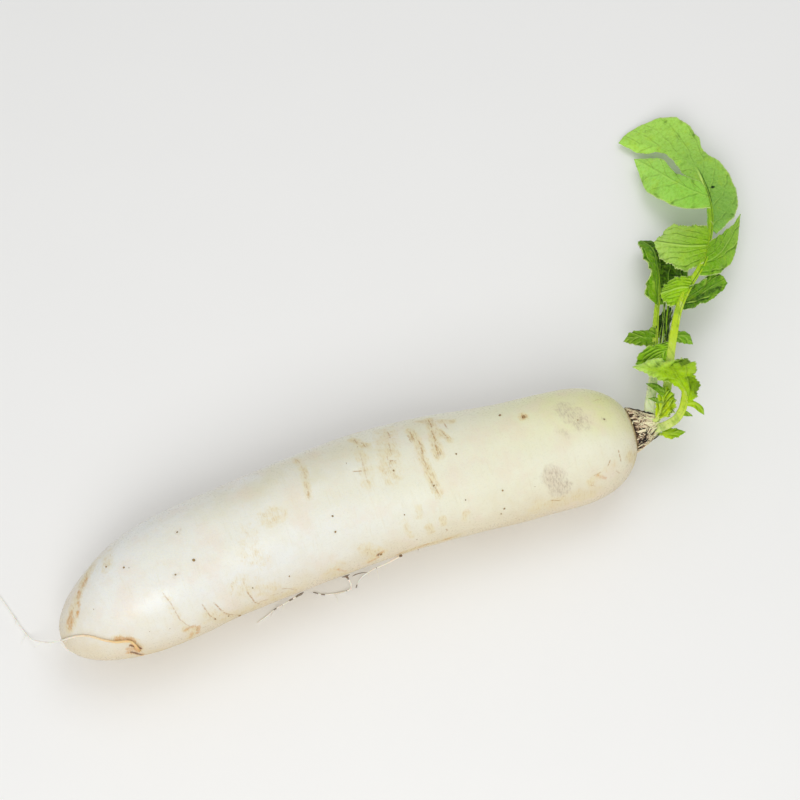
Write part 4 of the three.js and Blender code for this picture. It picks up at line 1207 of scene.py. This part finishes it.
curledLeaf = {
    "node": "leaf_curled", "piece": "leafCurled", "slot": "leaf_lime",
    "stalk": {
        "wide": 2.6, "high": 2.1, "fine": 0.5, "taper": 1.6, "sinks": 0.58, "steps": 110, "bristles": 30,
        "route": [(7, 0.6, 32.8), (10.2, 0, 33.5), (14.5, -0.4, 36.3), (18, 0, 38.8), (22, 2, 41.2),
                  (25, 6, 44), (26.3, 11, 46), (26, 15, 48), (23, 20, 49.5), (17, 24, 49.5),
                  (11, 28, 48), (5, 31, 45.5)],
        "seam": 0.15,
        "colours": [(0, (214, 226, 168)), (0.2, (208, 224, 124)), (0.4, (190, 214, 58)),
                    (0.6, (170, 200, 10)), (1, (168, 204, 40))],
    },
    "blades": [
        {
            "fine": (150, 40), "teethRows": 24, "teeth": 1.3, "jag": 1.3, "wave": 1.6, "waves": 5,
            "bulge": 0.8, "veins": 4, "slope": 0.7, "pucker": 0.4, "crumple": 0.9, "ruffle": (0.7, 5),
            "rib": (0.4, 0, 0.5), "ink": 0.3, "dark": (0, 0.08), "near": (164, 206, 1),
            "tip": (208, 242, 134), "tipFrom": 0.42,
            "mid": [(26, 9, 45.3), (26.3, 12, 46.5), (26, 15, 48), (23, 20, 49.5), (17, 24, 49.5),
                    (11, 28, 48), (5, 31, 45.5), (0, 33, 43)],
            "left": [(25.3, 9, 45.3), (25.2, 12, 46.5), (24.5, 15.5, 48), (19, 20, 49.3), (13, 22.5, 48.5),
                     (8, 27, 46), (0, 33, 43)],
            "right": [(27, 8.5, 45), (31, 12, 43.5), (35.5, 21, 44), (32, 25, 46), (34, 34.5, 42),
                      (30, 41, 41), (24, 36, 44.5), (16, 36.5, 45.5), (7, 36, 43), (0, 33, 43)],
        },
        {
            "fine": (40, 16), "teethRows": 8, "veins": 2, "slope": 0.6, "pucker": 0.3,
            "ruffle": (0.3, 3), "rib": (0.2, 0, 1), "ink": 0.4, "near": (192, 222, 12),
            "tip": (144, 186, 6),
            "mid": [(26, 9, 45.3), (32, 8.5, 45), (35, 7, 43), (37, 5, 40)],
            "left": [(26, 10.5, 45.6), (32, 10.3, 44.5), (36.3, 8, 42.5), (37, 5, 40)],
            "right": [(26, 8, 45), (31, 6.8, 44.5), (34, 5.3, 42.5), (37, 5, 40)],
        },
        {
            "fine": (24, 12), "teethRows": 4, "veins": 2, "slope": 0.5, "pucker": 0.3, "crumple": 0.2,
            "ruffle": (0.2, 3), "ink": 0.4, "dark": (0.1, 0.2), "near": (150, 192, 6),
            "tip": (90, 142, 4),
            "mid": [(24, 4.5, 43), (27.5, 4, 43), (30.5, 3, 42)],
            "left": [(24.5, 5.5, 43.5), (27.5, 5.2, 43), (30.5, 3, 42)],
            "right": [(23.5, 3.5, 42.5), (27, 2.6, 42.5), (30.5, 3, 42)],
        },
    ],
}

youngLeaf = {
    "node": "leaf_young", "piece": "leafYoung", "slot": "leaf_shoot",
    "stalk": {
        "wide": 1.2, "high": 1.0, "fine": 0.4, "taper": 1.2, "sinks": 0.5, "steps": 50, "bristles": 20,
        "route": [(7.5, 2.2, 36), (10, 2, 38), (12, 3.2, 39.3), (14, 8, 40.7), (16, 14, 42),
                  (17, 19.5, 43)],
        "seam": 0.2,
        "colours": [(0, (214, 226, 150)), (0.5, (190, 214, 40)), (1, (170, 200, 30))],
    },
    "blades": [
        {
            "fine": (96, 32), "teethRows": 14, "teeth": 1.1, "jag": 1.6, "wave": 0.6, "waves": 4,
            "bulge": 0.3, "veins": 3, "slope": 1.0, "pucker": 0.4, "crumple": 0.9, "ruffle": (0.6, 4),
            "rib": (0.4, 0.3, 0.7), "ink": 0.8, "dark": (0.08, 0.36), "near": (194, 216, 1),
            "tip": (162, 200, 2),
            "mid": [(11.5, 3, 39), (14, 8, 40.7), (16, 14, 42), (18, 21, 43)],
            "left": [(11, 4, 39.2), (11.5, 8, 40.3), (13, 15, 41.7), (18, 21, 43)],
            "right": [(12.5, 2.5, 39.4), (19.5, 5.5, 41), (21.5, 13, 42), (18, 21, 43)],
        },
        {
            "fine": (40, 14), "teethRows": 6, "veins": 3, "slope": 0.5, "pucker": 0.3,
            "ruffle": (0.3, 3), "ink": 0.4, "dark": (0.15, 0.1), "near": (114, 162, 12),
            "tip": (80, 130, 6),
            "mid": [(16.5, 17, 42.5), (12, 21, 42.5), (7, 24, 40.5)],
            "left": [(15.5, 14.5, 42.2), (11.5, 18.5, 42.2), (7, 24, 40.5)],
            "right": [(17, 19, 42.8), (12, 23, 42), (7, 24, 40.5)],
        },
        {
            "fine": (36, 12), "teethRows": 6, "veins": 3, "slope": 0.5, "pucker": 0.2, "crumple": 0.2,
            "ruffle": (0.2, 3), "ink": 0.4, "dark": (0.15, 0.1), "near": (108, 156, 12),
            "tip": (76, 124, 6),
            "mid": [(15, 11, 41.5), (11, 13.5, 41.5), (8, 15, 40)],
            "left": [(14.6, 10, 41.2), (11, 12.3, 41.2), (8, 15, 40)],
            "right": [(15.5, 12.5, 41.7), (11.5, 14.7, 41.5), (8, 15, 40)],
        },
    ],
}

budLeaf = {
    "node": "leaf_bud", "piece": "leafBud", "slot": "leaf_shoot",
    "stalk": {
        "wide": 1.2, "high": 1.0, "fine": 0.4, "taper": 1.2, "sinks": 0.6, "steps": 40, "bristles": 6,
        "route": [(8, 0, 27.2), (12.5, 0, 27.6), (17.5, -0.3, 28.2), (22.5, 0.5, 28), (26, 1.6, 27)],
        "seam": 0.2,
        "colours": [(0, (204, 220, 130)), (0.5, (160, 196, 40)), (1, (130, 170, 30))],
    },
    "blades": [
        {
            "fine": (56, 22), "teethRows": 8, "teeth": 0.8, "jag": 0.8, "veins": 2, "slope": 1.2,
            "pucker": 0.35, "crumple": 0.4, "ruffle": (0.4, 4), "rib": (0.2, 0, 1), "ink": 0.5,
            "dark": (0.22, 0.05), "near": (200, 228, 24), "tip": (136, 188, 2),
            "mid": [(15.5, 0, 28.5), (19, -0.4, 28.4), (23, 0.7, 27.8), (28.5, 2, 26)],
            "left": [(15.5, -1, 28.2), (19, -2.6, 27.5), (24, -1.3, 27), (28.5, 2, 26)],
            "right": [(15.5, 1, 28.2), (18.5, 2.8, 28), (23, 3, 27.5), (28.5, 2, 26)],
        },
    ],
}

leafRelief = {
    "sheet": 0.6,
    "veinHeight": 0.2,
    "veinWidth": 0.4,
    "midribHeight": 0.3,
    "foldHeight": 1.6,  # times a blade's crumple
    "foldGrain": 3.6,
    "puckerGrain": 2.4,
    "crimp": 0.4,
    "crimpGrain": 1.9,
}
bristles = {
    "along": (0.12, 0.8),  # shares of the stalk
    "length": (0.5, 1.3),
    "base": 0.12,
    "tip": 0.01,
}
stalkSamples = 200


def blend(first, second, share):
    return first + (second - first) * share


# One blade: a grid between its edge curves, with toothed, ruffled margins, raised veins and puckers.
def addBlade(bm, layers, shape):
    spec = {**plainBlade, **shape}
    rows, columns = spec["fine"]
    verts = bmesh.ops.create_grid(bm, x_segments=rows, y_segments=columns, size=1)["verts"]
    mid = samplesAlong(spec["mid"], rows)
    edges = samplesAlong(spec["left"], rows), samplesAlong(spec["right"], rows)
    length = sum((b - a).length for a, b in zip(mid, mid[1:]))
    ribStrength, ribFrom, ribTo = spec["rib"]
    ruffle, ruffles = spec["ruffle"]
    near, tip = paint(*spec["near"]), paint(*spec["tip"])
    for vert in verts:
        row = round((vert.co.x + 1) / 2 * rows)
        share = abs(vert.co.y)
        right = vert.co.y > 0
        u = row / rows
        out = edges[1 if right else 0][row] - mid[row]
        width = out.length
        count = spec["teethRows"] / 2
        large = 1 - abs((u * count) % 1 * 2 - 1)
        small = abs(math.sin(u * count * 3.3 * math.pi + (1 if right else 0)))
        tooth = min(spec["teeth"], 0.3 * width) * (large**1.3 + 0.6 * spec["jag"] * (small - 0.5))
        point = mid[row] + out * (share + tooth * share**5 / max(width, 1))
        ripple = math.sin(2 * math.pi * spec["waves"] * u + (0 if right else 1.5))
        damp = min(width / 8, 1)
        point.z += damp * (spec["wave"] * ripple * share * share + spec["bulge"] * 4 * share * (1 - share))
        warp = 0.14 * noise.noise(point / 6) + (0 if right else 0.5)
        slope = spec["slope"] * min(width / (0.4 * length), 1)
        phase = (u - slope * share**0.9) * spec["veins"] + warp
        veinGap = 1 / (spec["veins"] * math.hypot(1 / length, slope / max(width, 2)))
        gap = abs(phase - round(phase)) * veinGap
        ribShare = ribStrength * (1 - smoothStep(ribFrom, ribTo, u)) if ribTo < 1 else ribStrength
        thin = leafRelief["veinWidth"] * (1.15 - 0.6 * share)
        rise = leafRelief["veinHeight"] * math.exp(-((gap / thin) ** 2)) * (1 - 0.5 * share)
        rise += leafRelief["midribHeight"] * ribShare * math.exp(-((share * width / 0.8) ** 2))
        uneven = 0.55 + 0.9 * noise.noise(point / leafRelief["puckerGrain"])
        puff = math.sin(math.pi * (phase % 1)) ** 2 * uneven
        rise += spec["pucker"] * damp * puff * min(4 * share, 1) * (1.3 - 0.5 * share)
        fold = noise.noise(Vector((u * length / leafRelief["foldGrain"], share * width / 8, length)))
        rise += leafRelief["foldHeight"] * spec["crumple"] * damp * min(2.5 * share, 1) * fold
        wrinkle = noise.noise(Vector((u * ruffles * 2.2, 3 if right else 8, length)))
        edge = math.sin(2 * math.pi * ruffles * u + 3 * wrinkle) + wrinkle
        rise += ruffle * damp * share**3 * edge * smoothStep(0, 0.1, u) * smoothStep(0, 0.1, 1 - u)
        rise += leafRelief["crimp"] * damp * share**2 * noise.noise(point / leafRelief["crimpGrain"])
        # the halves' painted shade meets over the midrib
        dark = blend(*spec["dark"], smoothStep(-0.12, 0.12, share if right else -share))
        dark *= 1 - 0.55 * share
        if "pit" in spec:
            hollow = math.exp(-(((point.xy - Vector(spec["pit"])).length / 0.9) ** 2))
            dark += 2 * hollow
            rise -= 0.8 * hollow
        vert.co = point
        vert[layers["rise"]] = rise
        vert[layers["veinPhase"]] = phase
        vert[layers["veinGap"]] = veinGap
        vert[layers["margin"]] = share
        vert[layers["fromRib"]] = share * width * (1 if right else -1)
        vert[layers["rib"]] = ribShare
        vert[layers["ink"]] = spec["ink"]
        vert[layers["dark"]] = dark
        reached = smoothStep(spec["tipFrom"], 1, 0.8 * u + 0.2 * share)
        vert[layers["tone"]] = [blend(a, b, reached) for a, b in zip(near, tip)]
    return verts


def makeBlades(leaf):
    bm = bmesh.new()
    names = ("rise", "veinPhase", "veinGap", "margin", "fromRib", "rib", "ink", "dark")
    layers = {name: bm.verts.layers.float.new(name) for name in names}
    layers["tone"] = bm.verts.layers.float_color.new("tone")
    for spec in leaf["blades"]:
        addBlade(bm, layers, spec)
    bm.normal_update()
    upward = {vert: vert.normal * (1 if vert.normal.z > 0 else -1) for vert in bm.verts}
    for vert, normal in upward.items():
        vert.co += normal * vert[layers["rise"]]
    bm.transform(leafPlace)
    return bm


# Half width and half height; the end of a stalk sinks into its blade.
def stalkSize(stalk, share):
    part = 1 - share ** stalk["taper"]
    left = 1 - 0.8 * smoothStep(stalk["sinks"] - 0.1, stalk["sinks"] + 0.06, share)
    wide = stalk["fine"] + (stalk["wide"] - stalk["fine"]) * part
    high = stalk["fine"] + (stalk["high"] - stalk["fine"]) * part
    return wide * left, high * left


def makeStalk(leaf, draw):
    stalk = leaf["stalk"]
    bm = bmesh.new()
    along = bm.verts.layers.float.new("along")
    around = bm.verts.layers.float.new("around")
    addTube(bm, stalk["route"], stalk["steps"], 26, lambda share: stalkSize(stalk, share),
            groove=0.45, ribs=0.04, layer=along, sideLayer=around)
    roughen(bm, 0.12, 2.4)
    line = samplesAlong(stalk["route"], stalkSamples)
    for _ in range(stalk["bristles"]):
        k = int(draw.uniform(*bristles["along"]) * stalkSamples)
        share = k / stalkSamples
        tangent = (line[k + 1] - line[k - 1]).normalized()
        across = Vector((tangent.y, -tangent.x, 0)).normalized()
        up = across.cross(tangent)
        angle = draw.choice([0, math.pi]) + draw.gauss(0, 0.8)
        wide, high = stalkSize(stalk, share)
        outward = (across * -math.cos(angle) + up * math.sin(angle)).normalized()
        skin = line[k] - across * wide * math.cos(angle) + up * high * math.sin(angle) * 0.9
        length = draw.uniform(*bristles["length"])
        heading = (outward + tangent * draw.uniform(-0.3, 0.6)).normalized()
        turn = heading.to_track_quat("Z", "Y").to_matrix().to_4x4()
        place = Matrix.Translation(skin + heading * (length / 2 - 0.15)) @ turn
        cone = bmesh.ops.create_cone(bm, segments=4, radius1=bristles["base"], radius2=bristles["tip"],
                                     depth=length, cap_ends=True, matrix=place)["verts"]
        for vert in cone:
            vert[along] = share
            vert[around] = 3
    return placed(bm, leafPlace)


stalkTones = {
    "streak": (118, 160, 34),
    "pale": (222, 234, 160),
    # painted shade along one side of the stalk
    "seam": (42, 88, 6),
    "fleck": (84, 124, 24),
    "bristle": (56, 76, 22),
}


def stalkSkin(name, stops, shadeLineShare):
    finish, tree, shader = newFinish(name, {
        "Roughness": 0.45, "Specular IOR Level": 0.25,
        "Subsurface Weight": 0.3, "Subsurface Scale": 0.002, "Subsurface Radius": (0.7, 1.0, 0.3),
    })
    along = painted(tree, "along")
    around = painted(tree, "around")
    # painted shade: a dark line beside the stalk's middle
    seam = step(tree, calc(tree, "ABSOLUTE", plus(tree, around, 0.42)), 0.2, 0.04)
    colour = coats(
        tree, stalkTones, rampOver(tree, along, stops),
        (step(tree, grain(tree, 1.2, 3, 0.6, (2, 8, 2)), 0.48, 0.66, 0.45), "streak"),
        (step(tree, grain(tree, 0.9, 3, 0.6, (2, 9, 2)), 0.56, 0.7, 0.4), "pale"),
        (times(tree, seam, step(tree, along, 0.2, 0.45, shadeLineShare)), "seam"),
        (step(tree, grain(tree, 1.0, 2), 0.62, 0.7, 0.4), "fleck"),
        (step(tree, around, 2, 2.5, 0.8), "bristle"),
    )
    tree.links.new(colour, shader.inputs["Base Color"])
    bumpFrom(tree, shader, grain(tree, 0.7, 3, 0.5, (1, 4, 1)), 0.14, 0.6)
    return finish


bladeTones = {
    "mottle": (186, 206, 110),
    "patch": (182, 212, 30),
    "net": (192, 222, 110),
    # painted shade in the relief's hollows and a painted highlight on its crests
    "hollow": (136, 156, 50),
    "crest": (206, 232, 96),
    # the darkest painted shade of the halves and the relief's low places, with random dark blotches
    "deep": (10, 42, 4),
    # painted shade in the creases beside the side veins
    "flank": (104, 134, 30),
    "vein": (188, 222, 96),
    "ribShade": (36, 88, 12),
    "rib": (196, 232, 112),
    "rim": (228, 240, 170),
}


def bladeSkin():
    finish, tree, shader = newFinish("leafBlade", {
        "Specular IOR Level": 0.1,
        "Subsurface Weight": 0.2, "Subsurface Scale": 0.001, "Subsurface Radius": (0.6, 1.0, 0.1),
    })
    # the net of fine veins
    cells = tree.nodes.new("ShaderNodeTexVoronoi")
    cells.feature = "DISTANCE_TO_EDGE"
    cells.inputs["Scale"].default_value = 1 / (1.6 * mm)
    place = tree.nodes.new("ShaderNodeTexCoord")
    tree.links.new(place.outputs["Object"], cells.inputs["Vector"])
    net = step(tree, cells.outputs["Distance"], 0.16, 0.03)
    rise, margin, rib = (painted(tree, name) for name in ("rise", "margin", "rib"))
    blotch = flecks(tree, 1.4, 2.6, 4, 0.65)
    # painted shade of the halves and of the relief's low places, with random blotches
    shadeAndBlotch = plus(tree, painted(tree, "dark"), blotch, step(tree, rise, 0.1, -0.6, 0.25))

    # how far in mm from the nearest side vein, with the phase moved on by some mm
    phase = painted(tree, "veinPhase")
    spacing = painted(tree, "veinGap")

    def fromVein(here):
        return times(tree, calc(tree, "PINGPONG", here, 0.5), spacing)

    thin = calc(tree, "SUBTRACT", 0.45, times(tree, margin, 0.2))
    vein = step(tree, fromVein(phase), thin, 0.1)
    # painted shade: a dark line in the crease beside each side vein
    flank = step(tree, fromVein(plus(tree, phase, calc(tree, "DIVIDE", 0.66, spacing))), 0.75, 0.1)
    breaks = times(tree, step(tree, grain(tree, 5, 2), 0.3, 0.6), painted(tree, "ink"))
    across = painted(tree, "fromRib")
    shade = step(tree, calc(tree, "ABSOLUTE", calc(tree, "SUBTRACT", across, 1.15)), 0.75, 0.15)
    core = step(tree, calc(tree, "ABSOLUTE", across), 0.75, 0.35)
    colour = coats(
        tree, bladeTones, painted(tree, "tone", "Color"),
        (step(tree, grain(tree, 1.8, 4, 0.7), 0.4, 0.66, 0.4), "mottle", "MULTIPLY"),
        (step(tree, grain(tree, 6, 3, 0.6), 0.5, 0.7, 0.25), "patch"),
        (times(tree, net, 0.14), "net"),
        # painted shade in the relief's hollows and a painted highlight on its crests
        (step(tree, rise, 0.05, -0.5, 0.6), "hollow", "MULTIPLY"),
        (step(tree, rise, 0.35, 1.2, 0.3), "crest"),
        (step(tree, shadeAndBlotch, 0.1, 0.8, 0.94), "deep"),
        (times(tree, flank, breaks), "flank", "MULTIPLY"),
        (times(tree, vein, times(tree, breaks, 0.8)), "vein"),
        (times(tree, shade, times(tree, rib, 0.85)), "ribShade"),
        (times(tree, core, rib), "rib"),
        (times(tree, step(tree, margin, 0.95, 1.0), 0.65), "rim"),
    )
    tree.links.new(colour, shader.inputs["Base Color"])
    tree.links.new(plus(tree, times(tree, grain(tree, 3, 2), 0.2), 0.45), shader.inputs["Roughness"])
    height = plus(tree, times(tree, net, 0.5), times(tree, grain(tree, 0.9, 2), 0.6))
    bumpFrom(tree, shader, height, 0.16, 0.7)
    return finish


# Thin strands and dry fibres between the two long stalks, low over the folded leaf's.
leafStrands = {
    "count": 16,
    "thickness": (0.22, 0.6),  # half of it
    "low": [(16, 22), (43, 52), (32, 35)],
    "high": [(20.5, 28), (70, 88), (28, 33)],
    "colours": [(0, (18, 36, 8)), (0.3, (60, 96, 14)), (0.6, (146, 190, 30)),
                (1, (222, 236, 140))],
}


def makeStrands(draw):
    bm = bmesh.new()
    along = bm.verts.layers.float.new("along")
    bm.verts.layers.float.new("around")
    for _ in range(leafStrands["count"]):
        low = Vector([draw.uniform(*span) for span in leafStrands["low"]])
        high = Vector([draw.uniform(*span) for span in leafStrands["high"]])
        bend = low.lerp(high, 0.5) + Vector((draw.uniform(-1.5, 1.5), 0, draw.uniform(-0.5, 1.5)))
        thick = draw.uniform(*leafStrands["thickness"])

        def sizeAt(share):
            return thick * (1 - 0.5 * share), thick * (0.8 - 0.4 * share)

        addTube(bm, [low, bend, high], 24, 8, sizeAt, layer=along, tone=draw.uniform(0.0, 0.85))
    roughen(bm, 0.2, 1.2)
    return placed(bm, leafPlace)


def makeLeaves():
    draw = random.Random(21)
    blade = bladeSkin()
    for leaf in (largeLeaf, foldedLeaf, curledLeaf, youngLeaf, budLeaf):
        stalk = leaf["stalk"]
        stalkFinish = stalkSkin(leaf["piece"] + "StalkSkin", stalk["colours"], stalk["seam"])
        keepPiece(leaf["piece"] + "Stalk", makeStalk(leaf, draw), stalkFinish, [leaf["node"]])
        keepPiece(leaf["piece"] + "Blades", makeBlades(leaf), blade, [leaf["node"]],
                  leafRelief["sheet"])
        print(leaf["piece"], "is made")
    strandSkin = stalkSkin("strandSkin", leafStrands["colours"], 0)
    keepPiece("leafStrands", makeStrands(draw), strandSkin, ["leaf_folded"])
    print("strands are made")


makeLeaves()
